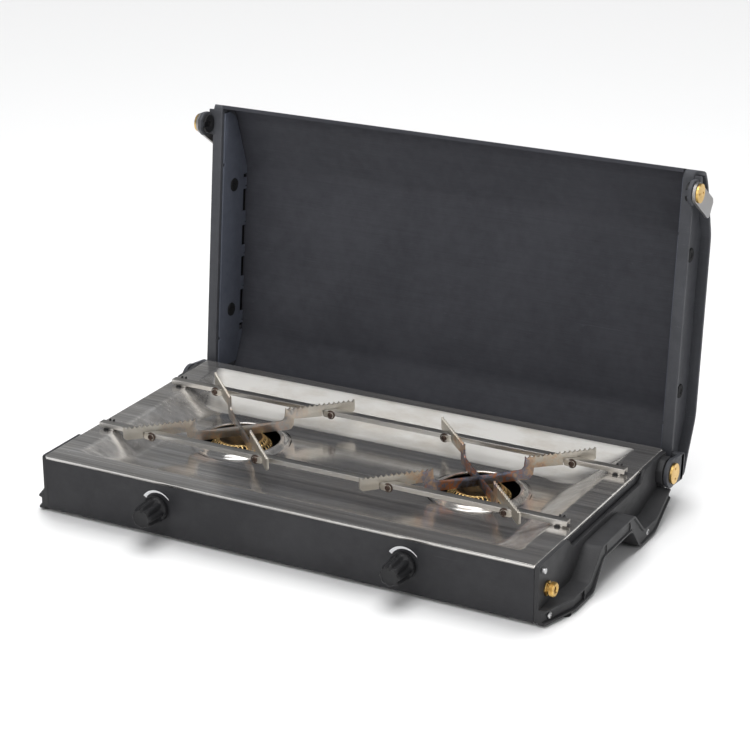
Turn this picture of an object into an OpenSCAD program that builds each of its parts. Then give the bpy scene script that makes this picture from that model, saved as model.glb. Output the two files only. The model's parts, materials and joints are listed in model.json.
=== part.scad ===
// Two-burner folding camping stove, shown with its lid open.
// X runs across the width, -Y is the front with the knobs, +Z is up.
// The origin lies on the ground, under the middle of the open stove.

/* [Case] */
// Width of the sheet-metal case and its pan
case_w = 500; // [460:5:560]
// Depth of the case, front panel to rear wall
case_d = 282; // [264:2:340]
// Height of the pan's rim above the ground
rim_z = 57; // [56:0.5:68]
// Height of the front panel's lower edge above the ground
front_gap = 3.5; // [3:0.5:6]
// Height of the case floor's underside above the ground
floor_z = 9; // [7:0.5:10]
// Thickness of the case's steel sheet
sheet_t = 1.2; // [0.8:0.1:1.5]
// Depth of the hem folded inwards along the front panel's lower edge
hem_w = 7; // [4:1:10]

/* [Drip pan] */
// Thickness of the pan's stainless sheet
pan_t = 0.8; // [0.6:0.1:1]
// Height of the pan's folded-down outer lip
lip_h = 3; // [2:0.5:4]
// Width of the flat rim at the sides
rim_side = 22; // [16:1:30]
// Width of the flat rim at the front
rim_front = 22; // [16:1:30]
// Width of the flat rim at the rear
rim_rear = 14; // [12:1:24]
// Horizontal run of the pan's slopes at the sides
slope_side = 34; // [20:1:36]
// Horizontal run of the pan's slope at the front
slope_front = 14; // [10:1:24]
// Horizontal run of the pan's slope at the rear
slope_rear = 62; // [30:1:64]
// Depth of the pan's basin below its rim
basin_depth = 16; // [12:0.5:18]
// Radius of each burner hole in the pan
hole_r = 38; // [34:0.5:44]
// Width of the raised ring round each burner hole
collar_w = 7; // [5:0.5:10]
// Height of the raised ring
collar_h = 4; // [2:0.5:5]

/* [Burners and gas] */
// Distance of each burner from the middle of the case
burner_x = 127; // [118:1:140]
// Distance of the burners behind the front panel
burner_d = 146; // [138:1:160]
// Outer radius of the perforated burner ring
head_r = 30; // [26:0.5:32]
// Radius of the burner ring's upper edge
head_top_r = 22; // [18:0.5:24]
// Height of the perforated burner ring
head_h = 9; // [7:0.5:11]
// Depth of the burner's upper edge below the pan's rim
head_drop = 11; // [10:0.5:14]
// Number of flame ports round a burner
ports = 24; // [12:1:36]
// Radius of a flame port
port_r = 1.1; // [0.8:0.1:1.4]
// Height of the gas line, valves and knobs above the ground
gas_z = 30; // [28:0.5:32]
// Distance of the gas line behind the front panel
gas_d = 16.2; // [15.5:0.1:20]
// Outer radius of the gas line
gas_r = 3.5; // [3:0.1:4]
// Outer radius of a mixing tube
mixer_r = 5.5; // [5:0.25:5.5]
// Radius of the inlet's outside thread
inlet_r = 6.58; // [6:0.01:7]
// Length of the inlet's outside thread
inlet_len = 4; // [3:0.5:8]

/* [Knobs] */
// Radius of a knob's fluted skirt
knob_r = 12.5; // [10:0.5:14]
// Radius of a knob's front cap
knob_cap_r = 9; // [7:0.5:10]
// Reach of a knob in front of the panel
knob_reach = 28; // [24:0.5:34]
// Radius of a valve spindle
spindle_r = 3; // [2.5:0.1:3.5]

/* [Side frames] */
// Thickness of a side frame's wall
frame_t = 4.5; // [3.5:0.25:5]
// Reach of the carry rail beyond the side frame's wall
rail_reach = 17.5; // [14:0.5:22]
// Reach of the carry rail at the front corner
rail_reach_front = 6; // [4:0.5:8]
// Height of the carry rail's band
band_h = 14; // [11:0.5:16]
// Height of the underside of the raised grip above the ground
grip_z = 26; // [24:0.5:28]
// Length of the finger opening under the grip
grip_len = 63; // [56:1:80]
// Forward shift of the grip from the middle of the case
grip_forward = 11; // [4:1:16]
// Drop of the side frame's top edge below the pan's rim along its middle
recess_drop = 11; // [6:0.5:14]
// Height of the rubber foot pads
pad_h = 2; // [1.5:0.25:3]

/* [Lid] */
// Angle of the open lid from its closed place
lid_open = 96; // [92:1:104]
// Length of the lid from hinge axis to free edge
lid_len = 282; // [270:0.5:340]
// Depth of the lid's shell
lid_h = 50; // [44:0.5:60]
// Thickness of the lid's sheet
lid_t = 1; // [0.8:0.1:1.5]
// Thickness of the lid's side walls
lid_side_t = 4; // [3:0.25:5]
// Reach of the rim round each lid side
lid_flange = 10; // [6:0.5:10]
// Distance of the hinge axis in front of the case's rear
hinge_inset = 12; // [10:0.5:16]
// Height of the hinge axis above the ground
hinge_z = 40; // [38:0.5:42]
// Gap between the closed lid and the pan's rim
lid_gap = 1.5; // [1:0.25:3]
// Radius of the hinge bolts
hinge_r = 4; // [3:0.25:5]
// Radius of the brass caps
cap_r = 10; // [8:0.5:11]

/* [Latches] */
// Distance of the latch axis from the lid's free edge
latch_inset = 19; // [17:0.5:24]
// Distance of the latch axis beyond the lid's rim
latch_drop = 8.3; // [7.5:0.1:10]
// Radius of a latch's slotted cam
cam_r = 9; // [8:0.25:9.5]
// Radius of the catch studs on the case
stud_r = 2.5; // [2:0.1:3]
// Length of a latch lever from its axis
lever_len = 42; // [34:1:50]
// Width of a latch lever
lever_w = 20; // [16:0.5:22]
// Angle of the released lever above the lid's rim
lever_angle = 60; // [45:1:70]

/* [Pot supports] */
// Height of the two cross rails
rail_h = 6.5; // [5:0.5:8]
// Width of the two cross rails
rail_w = 8; // [6:0.5:10]
// Distance of each cross rail from the burners' line
rail_offset = 63.5; // [56:0.5:70]
// Length of each pot arm, tip to tip
arm_len = 228; // [206:1:236]
// Thickness of the arms and rails
arm_t = 1.5; // [1:0.1:2]
// Height of an arm's upper edge above the pan's rim
arm_top = 13.5; // [12:0.5:16]
// Height of the toothed blades
blade_h = 11.5; // [9:0.5:12]
// Length of each toothed blade
blade_len = 69; // [60:1:76]
// Distance between the blade's teeth
tooth_pitch = 5.6; // [4:0.1:8]
// Depth of the blade's teeth
tooth_h = 1.8; // [1:0.1:2.5]
// Height of the narrow neck across the burner
neck_h = 10; // [8:0.5:11]

/* [Hidden] */
$fn = 64;

// Clearances
run_gap = 0.06;
small_gap = 0.1;
part_gap = 0.3;
loose_gap = 0.5;
cut = 1;

// Half widths and depths of the case
half_w = case_w / 2;
wall_x = half_w + frame_t;
pan_lip_x = half_w + pan_t + small_gap;
tray_top = rim_z - pan_t;
tray_floor_top = floor_z + sheet_t;

// Lid profile, measured from the hinge axis: [towards the free edge, above the axis], lid closed
rim_up = rim_z + lid_gap - hinge_z;
lid_rear = hinge_inset + 4;
lid_outline = [[lid_len, rim_up], [lid_len - 4.5, rim_up + 22], [lid_len - 16.5, rim_up + 30],
    [lid_len - 68.5, rim_up + lid_h], [lid_rear + 21, rim_up + lid_h], [lid_rear - 11, rim_up + 38],
    [-lid_rear, rim_up + 31], [-lid_rear, rim_up]];

// The open stove's depth, which centres it on the origin
function back_reach(p) = p[0] * -cos(lid_open) + p[1] * sin(lid_open);
lid_back_d = case_d - hinge_inset + max([for (p = lid_outline) back_reach(p)]);
front_y = -(lid_back_d - knob_reach) / 2;
rear_y = front_y + case_d;
hinge_y = rear_y - hinge_inset;
burner_y = front_y + burner_d;
gas_y = front_y + gas_d;

// Stack of the hinge and latch pieces, outwards from the case
boss_r = 15;
boss_x = wall_x + 7.5;
hinge_arm_x = boss_x + loose_gap - small_gap;
hinge_arm_t = 3.8;
hinge_cap_x = hinge_arm_x + hinge_arm_t + part_gap;
cap_t = 2.5;
cam_x = wall_x + loose_gap;
cam_t = 3;
ear_x = cam_x + cam_t + part_gap;
ear_t = 3.7;
lever_x = ear_x + ear_t + part_gap;
lever_t = 3.2;
latch_cap_x = lever_x + lever_t;
latch_cap_r = cap_r - 1;
shank_r = 5;
ear_r = 12;
latch_u = lid_len - latch_inset;
latch_w = rim_up - latch_drop;
hinge_clear_r = norm([hinge_inset, rim_z - hinge_z]) + 1.4;

// Lid side plates and their free rim
lid_in_x = half_w - lid_side_t;
plug_spots = [[lid_len - 84.5, 24], [lid_len - 215.5, 25]];
plug_r = 5;

// Side frame profile: distances behind the front panel and heights above the ground
grip_mid = case_d / 2 - grip_forward;
leg_run = 20.5;
leg_out = 5.5;
grip_top = grip_z + band_h;
band_top = pad_h + band_h;
foot_end = case_d - 66;
tail_end = case_d - 20;
tail_z = 17;
tail_top_z = 28;
recess_front = 60;
recess_rear = case_d - 60;
recess_slope = 10;
frame_top = rim_z - loose_gap;
recess_z = rim_z - recess_drop;
rail_x = wall_x + rail_reach;
flare_d = 40;

// Fasteners
screw_r = 1.5;
screw_head_r = 3.2;
screw_z = 12.2;
screw_spots = [9, foot_end - 14];
pad_r = 4.5;
pad_spots = [32, foot_end - 18];
stud_y = hinge_y - latch_u;
stud_z = hinge_z + latch_w;

// Gas parts
valve_w = 18;
valve_front = 4;
valve_back = 26;
spindle_end = gas_d - gas_r - 1;
inlet_tail_r = 4.7;
inlet_end_x = wall_x + 4.5 + inlet_len;
jet_end = valve_back + 10;
mixer_front = valve_back + 6;
mixer_back = burner_d - head_r + 4;
bowl_z = gas_z - 10;
head_z = rim_z - head_drop - head_h;
wall_thin = 1.5;

// Pot supports
arm_angle = atan2(rail_offset, 61.5);
arm_low = rim_z + arm_top - blade_h;
neck_low = arm_low - neck_h;
rail_len = case_w - 12;
rail_top = rim_z + rail_h;
rivet_shift = 4;
rivet_r = 1.6;
rivet_hole_r = rivet_r + run_gap;
rivet_head_r = 3.4;
rivet_tail_r = rivet_r + 0.4;
rivet_tail = 1;
rivet_cap = 1.2;
clip_x = half_w - rim_side;

// ---- helpers ----

// Extrudes a [y, z] outline along X
module x_prism(x0, x1) {
    translate([x0, 0, 0]) rotate([90, 0, 90]) linear_extrude(x1 - x0) children();
}

// Round bar along X
module x_rod(r, x0, x1, y, z) {
    translate([x0, y, z]) rotate([0, 90, 0]) cylinder(r = r, h = x1 - x0);
}

// Round bar along Y
module y_rod(r, y0, y1, x, z) {
    translate([x, y0, z]) rotate([-90, 0, 0]) cylinder(r = r, h = y1 - y0);
}

// Block given by its low and high corners
module block(low, high) {
    translate(low) cube(high - low);
}

// The right-hand shape, or its mirror image for the left
module on_side(side) {
    mirror([side < 0 ? 1 : 0, 0, 0]) children();
}

// Puts a shape drawn round the hinge axis of the closed lid into the open lid's place
module lid_place() {
    translate([0, hinge_y, hinge_z]) rotate([-lid_open, 0, 0]) children();
}

// Puts a shape drawn round the latch axis of the closed lid into place
module latch_place() {
    lid_place() translate([0, -latch_u, latch_w]) children();
}

// Lid outline as a closed [y, z] shape round the hinge axis
module lid_shape() {
    polygon([for (p = lid_outline) [-p[0], p[1]]]);
}

// Round cap with two spanner holes, its inner face at x0
module spanner_cap(r, x0) {
    difference() {
        x_rod(r, x0, x0 + cap_t, 0, 0);
        for (side = [-1, 1])
            x_rod(1.1, x0 + cap_t - 1.2, x0 + cap_t + cut, 0, side * r / 2);
    }
}

// ---- case ----

module case_shell() {
    difference() {
        block([-half_w, front_y, floor_z], [half_w, rear_y, tray_top]);
        block([-half_w + sheet_t, front_y + sheet_t, tray_floor_top],
            [half_w - sheet_t, rear_y - sheet_t, rim_z + cut]);
    }
    block([-half_w, front_y, front_gap], [half_w, front_y + sheet_t, tray_top]);
    block([-half_w, front_y, front_gap], [half_w, front_y + hem_w, front_gap + sheet_t]);
}

// Air slots in the floor under one burner
module floor_slots() {
    for (angle = [0:60:300])
        rotate([0, 0, angle]) translate([0, 0, floor_z - cut]) linear_extrude(sheet_t + 2 * cut) {
            translate([16, -3]) square([14, 6]);
            translate([16, 0]) circle(3);
            translate([30, 0]) circle(3);
        }
}

module base_tray() {
    color("#3b3c3f") difference() {
        case_shell();
        for (side = [-1, 1]) {
            y_rod(spindle_r + 1.2, front_y - cut, front_y + sheet_t + cut, side * burner_x, gas_z);
            translate([side * burner_x, burner_y, 0]) floor_slots();
            on_side(side) {
                x_rod(stud_r - loose_gap, half_w - sheet_t - cut, half_w + cut, stud_y, stud_z);
                for (d = screw_spots)
                    x_rod(screw_r, half_w - sheet_t - cut, half_w + cut, front_y + d, screw_z);
            }
        }
        x_rod(inlet_tail_r, half_w - sheet_t - cut, half_w + cut, gas_y, gas_z);
        for (i = [-4.5:1:4.5])
            y_rod(4, rear_y - sheet_t - cut, rear_y + cut, i * case_w / 12, rim_z / 2);
    }
}

// Side wall with the recess along its top and the opening under the grip
module frame_wall_outline() {
    polygon([[0, pad_h], [grip_mid - grip_len / 2 - leg_run, pad_h], [grip_mid - grip_len / 2, grip_z],
        [grip_mid + grip_len / 2, grip_z], [grip_mid + grip_len / 2 + leg_run, pad_h],
        [foot_end, pad_h], [tail_end, tail_z], [case_d, tail_z + 6], [case_d, frame_top],
        [recess_rear + recess_slope, frame_top], [recess_rear, recess_z],
        [recess_front + recess_slope, recess_z], [recess_front, frame_top], [0, frame_top]]);
}

// Band of the carry rail, which follows the feet and the raised grip
module rail_outline() {
    polygon([[0, pad_h], [grip_mid - grip_len / 2 - leg_run, pad_h], [grip_mid - grip_len / 2, grip_z],
        [grip_mid + grip_len / 2, grip_z], [grip_mid + grip_len / 2 + leg_run, pad_h],
        [foot_end, pad_h], [tail_end, tail_z], [tail_end, tail_top_z], [foot_end + 3, band_top],
        [grip_mid + grip_len / 2 + leg_run + leg_out + 4, band_top],
        [grip_mid + grip_len / 2 + leg_out, grip_top], [grip_mid - grip_len / 2 - leg_out, grip_top],
        [grip_mid - grip_len / 2 - leg_run - leg_out - 6, band_top], [0, band_top]]);
}

// Plan of the carry rail: it swells outwards behind the front corner
module rail_plan() {
    polygon([[half_w, 0], [wall_x + rail_reach_front, 0], [rail_x, flare_d],
        [rail_x, foot_end + 4], [rail_x - 4, tail_end], [half_w, tail_end]]);
}

module side_frame(side) {
    color("#4c4d4f") on_side(side) difference() {
        union() {
            translate([0, front_y, 0]) x_prism(half_w, wall_x) frame_wall_outline();
            intersection() {
                translate([0, front_y, 0]) x_prism(half_w, rail_x) rail_outline();
                translate([0, front_y, 0]) linear_extrude(rim_z) rail_plan();
            }
            translate([wall_x, hinge_y, hinge_z]) rotate([0, 90, 0]) rotate([0, 0, 22.5])
                cylinder(r = boss_r, h = boss_x - wall_x, $fn = 8);
        }
        block([0, front_y - cut, tray_top - lip_h - small_gap], [pan_lip_x + small_gap, rear_y + cut, rim_z]);
        x_rod(hinge_r, half_w - cut, boss_x + cut, hinge_y, hinge_z);
        x_rod(stud_r - loose_gap, half_w - cut, wall_x + cut, stud_y, stud_z);
        if (side > 0) x_rod(inlet_tail_r, half_w - cut, wall_x + cut, gas_y, gas_z);
        for (d = screw_spots) {
            x_rod(screw_r, half_w - cut, rail_x, front_y + d, screw_z);
            x_rod(screw_head_r + part_gap, wall_x + 2, rail_x + cut, front_y + d, screw_z);
        }
    }
}

module side_frame_left() {
    side_frame(-1);
}

module side_frame_right() {
    side_frame(1);
}

module frame_screws() {
    color("silver") for (side = [-1, 1]) on_side(side) for (d = screw_spots) difference() {
        union() {
            x_rod(screw_r, half_w - 6, wall_x + 2, front_y + d, screw_z);
            x_rod(screw_head_r, wall_x + 2, wall_x + 4, front_y + d, screw_z);
        }
        x_rod(1, wall_x + 2.8, wall_x + 4 + cut, front_y + d, screw_z);
    }
}

module catch_studs() {
    color("silver") for (side = [-1, 1]) on_side(side) {
        x_rod(stud_r - loose_gap, half_w - sheet_t - 1.5, wall_x, stud_y, stud_z);
        x_rod(stud_r, wall_x, cam_x + cam_t - part_gap, stud_y, stud_z);
        x_rod(stud_r + 1, half_w - sheet_t - 2.5, half_w - sheet_t, stud_y, stud_z);
    }
}

module foot_pads() {
    color("#1c1c1d") for (side = [-1, 1]) for (d = pad_spots)
        translate([side * (rail_x - pad_r - 1.5), front_y + d, 0]) cylinder(r = pad_r, h = pad_h);
}

// ---- drip pan ----

// Basin with sloped walls, grown outwards by g and lowered by the sheet's thickness t
module basin(g, t) {
    low = rim_z - basin_depth - t;
    top_x = half_w - rim_side + g;
    top_front = front_y + rim_front - g;
    top_rear = rear_y - rim_rear + g;
    intersection() {
        translate([0, rear_y + cut, 0]) rotate([90, 0, 0]) linear_extrude(case_d + 2 * cut)
            polygon([[-top_x + slope_side, low], [top_x - slope_side, low], [top_x, rim_z - t],
                [top_x, rim_z + cut], [-top_x, rim_z + cut], [-top_x, rim_z - t]]);
        x_prism(-half_w, half_w) polygon([[top_front + slope_front, low], [top_rear - slope_rear, low],
            [top_rear, rim_z - t], [top_rear, rim_z + cut], [top_front, rim_z + cut],
            [top_front, rim_z - t]]);
    }
}

// Raised ring round a burner hole
module collar_ring() {
    z = rim_z - basin_depth;
    rotate_extrude() polygon([[hole_r, z + collar_h - pan_t], [hole_r, z + collar_h],
        [hole_r + 2, z + collar_h], [hole_r + collar_w, z], [hole_r + collar_w, z - pan_t],
        [hole_r + collar_w - 1, z - pan_t], [hole_r + 1.5, z + collar_h - pan_t]]);
}

module drip_pan() {
    color("#c9c8c4") {
        difference() {
            union() {
                block([-pan_lip_x, front_y - pan_t - small_gap, tray_top],
                    [pan_lip_x, rear_y + pan_t + small_gap, rim_z]);
                intersection() {
                    basin(1, pan_t);
                    block([-half_w, front_y, 0], [half_w, rear_y, tray_top]);
                }
                block([-pan_lip_x, front_y - pan_t - small_gap, rim_z - lip_h],
                    [pan_lip_x, rear_y + pan_t + small_gap, tray_top]);
            }
            basin(0, 0);
            difference() {
                block([-half_w - small_gap, front_y - small_gap, rim_z - lip_h - cut],
                    [half_w + small_gap, rear_y + small_gap, tray_top]);
                basin(1, pan_t);
            }
            for (side = [-1, 1])
                translate([side * burner_x, burner_y, rim_z - basin_depth - pan_t - cut])
                    cylinder(r = hole_r + collar_w - small_gap, h = pan_t + 2 * cut);
        }
        for (side = [-1, 1]) translate([side * burner_x, burner_y, 0]) collar_ring();
    }
}

// Two prongs either side of a cross rail, near each of its ends
module rail_clips() {
    color("#161617") for (side = [-1, 1]) for (row = [-1, 1])
        translate([side * (clip_x + 8), burner_y + row * rail_offset, rim_z]) difference() {
            block([-2.5, -rail_w / 2 - 2.2, 0], [2.5, rail_w / 2 + 2.2, rail_h + 1.5]);
            block([-3, -rail_w / 2 - part_gap, -cut], [3, rail_w / 2 + part_gap, rail_h + 3]);
        }
}

// ---- gas ----

module gas_line() {
    color("#b8a24e") difference() {
        x_rod(gas_r, -burner_x - valve_w / 2 - 3, half_w - 7, gas_y, gas_z);
        x_rod(gas_r - 1, -burner_x - valve_w / 2 - 1.5, half_w - 7 + cut, gas_y, gas_z);
    }
}

module gas_inlet() {
    color("#c9a24a") difference() {
        union() {
            x_rod(inlet_tail_r, half_w - 7, wall_x, gas_y, gas_z);
            translate([wall_x, gas_y, gas_z]) rotate([0, 90, 0]) cylinder(r = 7, h = 2, $fn = 6);
            x_rod(inlet_tail_r, wall_x + 2, wall_x + 4.5, gas_y, gas_z);
            x_rod(inlet_r, wall_x + 4.5, inlet_end_x, gas_y, gas_z);
        }
        x_rod(gas_r - 1, half_w - 7 - cut, inlet_end_x + cut, gas_y, gas_z);
    }
}

module inlet_nut() {
    color("#c9a24a") difference() {
        translate([half_w - sheet_t - 4, gas_y, gas_z]) rotate([0, 90, 0])
            cylinder(r = 8, h = 4, $fn = 6);
        x_rod(inlet_tail_r, half_w - sheet_t - 4 - cut, half_w, gas_y, gas_z);
    }
}

module valve_body(side) {
    color("#b8964a") difference() {
        block([side * burner_x - valve_w / 2, front_y + valve_front, gas_z - valve_w / 2],
            [side * burner_x + valve_w / 2, front_y + valve_back, gas_z + valve_w / 2]);
        y_rod(spindle_r + run_gap, front_y, front_y + spindle_end + 0.2, side * burner_x, gas_z);
        x_rod(gas_r, side * burner_x - valve_w, side * burner_x + valve_w, gas_y, gas_z);
        y_rod(2.5, gas_y + gas_r + loose_gap, front_y + valve_back + cut, side * burner_x, gas_z);
    }
}

module valve_body_left() {
    valve_body(-1);
}

module valve_body_right() {
    valve_body(1);
}

module jet(side) {
    color("#d4b25a") difference() {
        union() {
            y_rod(2.5, front_y + valve_back - 3, front_y + jet_end, side * burner_x, gas_z);
            translate([side * burner_x, front_y + valve_back, gas_z]) rotate([-90, 0, 0])
                cylinder(r = 4.5, h = 3.5, $fn = 6);
        }
        y_rod(1, front_y + valve_back - 3 - cut, front_y + jet_end - 2, side * burner_x, gas_z);
        y_rod(0.4, front_y + valve_back, front_y + jet_end + cut, side * burner_x, gas_z);
    }
}

module jet_left() {
    jet(-1);
}

module jet_right() {
    jet(1);
}

// Tube in which air and gas mix, with two air windows beside the jet
module mixing_tube(side) {
    color("#9b9c9c") difference() {
        y_rod(mixer_r, front_y + mixer_front, front_y + mixer_back, side * burner_x, gas_z);
        y_rod(mixer_r - 1, front_y + mixer_front - cut, front_y + mixer_back + cut,
            side * burner_x, gas_z);
        translate([side * burner_x - mixer_r - cut, front_y + mixer_front + 6, gas_z - 3])
            cube([2 * mixer_r + 2 * cut, 12, 6]);
    }
}

module mixing_tube_left() {
    mixing_tube(-1);
}

module mixing_tube_right() {
    mixing_tube(1);
}

// ---- burners ----

module burner_bowl(side) {
    color("#8d8e8f") difference() {
        union() {
            translate([side * burner_x, burner_y, bowl_z])
                cylinder(r = head_r, h = head_z - bowl_z);
            y_rod(mixer_r + wall_thin, front_y + mixer_back - 10, burner_y - head_r + 5,
                side * burner_x, gas_z - small_gap);
        }
        translate([side * burner_x, burner_y, bowl_z + 2])
            cylinder(r = head_r - 2, h = head_z - bowl_z);
        y_rod(mixer_r, front_y, front_y + mixer_back, side * burner_x, gas_z);
        y_rod(mixer_r - 1, front_y, burner_y, side * burner_x, gas_z);
        translate([side * burner_x, burner_y, head_z]) cylinder(r = 2 * head_r, h = head_h);
    }
}

module burner_bowl_left() {
    burner_bowl(-1);
}

module burner_bowl_right() {
    burner_bowl(1);
}

// Brass ring with a sloped, perforated outer face
module burner_ring(side) {
    slope = atan2(head_r - head_top_r, head_h - 1);
    color("#c8a04c") translate([side * burner_x, burner_y, head_z]) difference() {
        rotate_extrude() polygon([[head_r, 0], [head_r, 1], [head_top_r, head_h],
            [head_top_r - wall_thin, head_h], [head_top_r - wall_thin, head_h - 2],
            [head_r - 2, 0]]);
        for (i = [0:ports - 1])
            rotate([0, 0, i * 360 / ports]) translate([(head_r + head_top_r) / 2 - 1, 0, head_h / 2])
                rotate([0, 90 - slope, 0]) translate([0, 0, -4]) cylinder(r = port_r, h = 8);
    }
}

module burner_ring_left() {
    burner_ring(-1);
}

module burner_ring_right() {
    burner_ring(1);
}

// Sunken steel cone that closes the middle of a burner
module burner_cone(side) {
    r = head_top_r - wall_thin - small_gap;
    color("#4a4440") translate([side * burner_x, burner_y, head_z]) rotate_extrude()
        polygon([[0, 1.2], [6, 1.2], [r - 0.8, head_h], [r, head_h], [r, head_h - 1.5],
            [6.5, 0], [0, 0]]);
}

module burner_cone_left() {
    burner_cone(-1);
}

module burner_cone_right() {
    burner_cone(1);
}

// Bent strap that carries a burner bowl on the case floor
module burner_bracket(side) {
    color("#7c7d7e") translate([side * burner_x, burner_y, 0]) {
        block([-12, -28, bowl_z - sheet_t], [12, 28, bowl_z]);
        for (end = [-1, 1]) {
            block([-12, end * 28 - sheet_t, tray_floor_top], [12, end * 28, bowl_z]);
            block([-12, end * 33 - 5, tray_floor_top], [12, end * 33 + 5, tray_floor_top + sheet_t]);
        }
    }
}

module burner_bracket_left() {
    burner_bracket(-1);
}

module burner_bracket_right() {
    burner_bracket(1);
}

// ---- hinges ----

module hinge_bolt(side) {
    color("#8f9092") on_side(side) x_rod(hinge_r, half_w + part_gap, hinge_cap_x, hinge_y, hinge_z);
}

module hinge_bolt_left() {
    hinge_bolt(-1);
}

module hinge_bolt_right() {
    hinge_bolt(1);
}

module hinge_cap(side) {
    color("#c9a24a") on_side(side) translate([0, hinge_y, hinge_z]) spanner_cap(cap_r, hinge_cap_x);
}

module hinge_cap_left() {
    hinge_cap(-1);
}

module hinge_cap_right() {
    hinge_cap(1);
}

// ---- pot supports ----

// Cross rail: a channel open at the bottom, resting on the pan's side rims
module cross_rail(row) {
    y = burner_y + row * rail_offset;
    color("#b5b3ae") difference() {
        block([-rail_len / 2, y - rail_w / 2, rim_z], [rail_len / 2, y + rail_w / 2, rail_top]);
        block([-rail_len / 2 - cut, y - rail_w / 2 + arm_t, rim_z - cut],
            [rail_len / 2 + cut, y + rail_w / 2 - arm_t, rail_top - arm_t]);
        for (spot = rivet_spots(row))
            y_rod(rivet_hole_r, y - rail_w / 2 - cut, y, spot[0], rivet_z());
    }
}

function rivet_z() = rail_top - arm_t - rivet_tail_r - part_gap;

// Where the rivets stand on the front (-1) or rear (1) rail
function rivet_spots(row) = [for (side = [-1, 1]) for (lean = [-1, 1])
    [side * burner_x + lean * (rail_offset / tan(arm_angle) + row * rivet_shift), row]];

module front_rail() {
    cross_rail(-1);
}

module rear_rail() {
    cross_rail(1);
}

// Upper edge of one toothed blade, from the tip inwards, as [distance, height] points
function tooth_edge(from) = [for (i = [0:floor((blade_len - 6) / tooth_pitch) - 1]) each
    [[from - i * tooth_pitch, rim_z + arm_top],
     [from - i * tooth_pitch - tooth_pitch * 0.35, rim_z + arm_top - tooth_h]]];

// Half of a pot arm, from its centre to its tip, as a flat outline
module half_arm_outline() {
    tip = arm_len / 2;
    root = tip - blade_len;
    polygon(concat([[0, neck_low], [root - 2, neck_low], [root + 8, neck_low + 4], [root + 8, arm_low],
        [tip - 3, arm_low], [tip, arm_low + 2], [tip, rim_z + arm_top]], tooth_edge(tip),
        [[root, rim_z + arm_top - tooth_h], [root, arm_low], [0, arm_low]]));
}

// Pot arm across one burner: lean -1 runs from front left to rear right, 1 the other way.
// slot is -1 where its crossing slot opens downwards, 1 where it opens upwards.
module pot_arm(side, lean, slot) {
    color("#a89f92") difference() {
        union() {
            translate([side * burner_x, burner_y, 0]) rotate([0, 0, lean < 0 ? arm_angle : 180 - arm_angle])
                translate([0, arm_t / 2, 0]) rotate([90, 0, 0]) linear_extrude(arm_t) {
                    half_arm_outline();
                    mirror([1, 0]) half_arm_outline();
                }
            for (row = [-1, 1])
                arm_tab(side, lean, row);
        }
        for (row = [-1, 1])
            block([-half_w, burner_y + row * rail_offset - rail_w / 2, 0],
                [half_w, burner_y + row * rail_offset + rail_w / 2 + (row > 0 ? small_gap : 0), rail_top]);
        translate([side * burner_x, burner_y, 0]) rotate([0, 0, lean < 0 ? arm_angle : 180 - arm_angle])
            block([-arm_t / 2 - small_gap, -arm_t, slot < 0 ? neck_low - cut : arm_low - neck_h / 2],
                [arm_t / 2 + small_gap, arm_t, slot < 0 ? arm_low - neck_h / 2 : arm_low + cut]);
        for (spot = concat(rivet_spots(-1), rivet_spots(1)))
            y_rod(rivet_hole_r, burner_y + spot[1] * rail_offset - rail_w / 2 - arm_t - cut,
                burner_y + spot[1] * rail_offset - rail_w / 2, spot[0], rivet_z());
    }
}

// Bent foot of an arm that lies against the front face of a rail and takes its rivet
module arm_tab(side, lean, row) {
    dir = row * -lean;
    x0 = side * burner_x + dir * (rail_offset - row * rail_w / 2) / tan(arm_angle);
    x1 = side * burner_x + dir * (rail_offset / tan(arm_angle) + row * (rivet_shift + rivet_head_r));
    y = burner_y + row * rail_offset - rail_w / 2;
    block([min(x0, x1), y - arm_t, rim_z + part_gap], [max(x0, x1), y, rail_top]);
}

module pot_arm_left_a() {
    pot_arm(-1, -1, -1);
}

module pot_arm_left_b() {
    pot_arm(-1, 1, 1);
}

module pot_arm_right_a() {
    pot_arm(1, -1, -1);
}

module pot_arm_right_b() {
    pot_arm(1, 1, 1);
}

module arm_rivets() {
    color("#6b5f55") for (spot = concat(rivet_spots(-1), rivet_spots(1))) {
        y = burner_y + spot[1] * rail_offset - rail_w / 2;
        y_rod(rivet_head_r, y - arm_t - rivet_cap, y - arm_t, spot[0], rivet_z());
        y_rod(rivet_r, y - arm_t, y + arm_t, spot[0], rivet_z());
        y_rod(rivet_tail_r, y + arm_t, y + arm_t + rivet_tail, spot[0], rivet_z());
    }
}

// ---- lid ----

// Folded sheet of the lid: three facets, a folded free edge and a rear lip
module lid_panel() {
    color("#3b3c3f") lid_place() difference() {
        x_prism(-lid_in_x, lid_in_x) difference() {
            lid_shape();
            offset(delta = -lid_t) lid_shape();
            translate([-lid_len + 6, rim_up - cut]) square([lid_len + lid_rear - 7.5, lid_t + 2 * cut]);
        }
        x_rod(hinge_clear_r, -half_w, half_w, 0, 0);
    }
}

// Band of the rim that stands outwards round a lid side
module lid_rim_outline() {
    difference() {
        lid_shape();
        offset(delta = -4) lid_shape();
        translate([-lid_len + 4.5, rim_up - cut]) square([lid_len + lid_rear - 9, 10]);
    }
}

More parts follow.
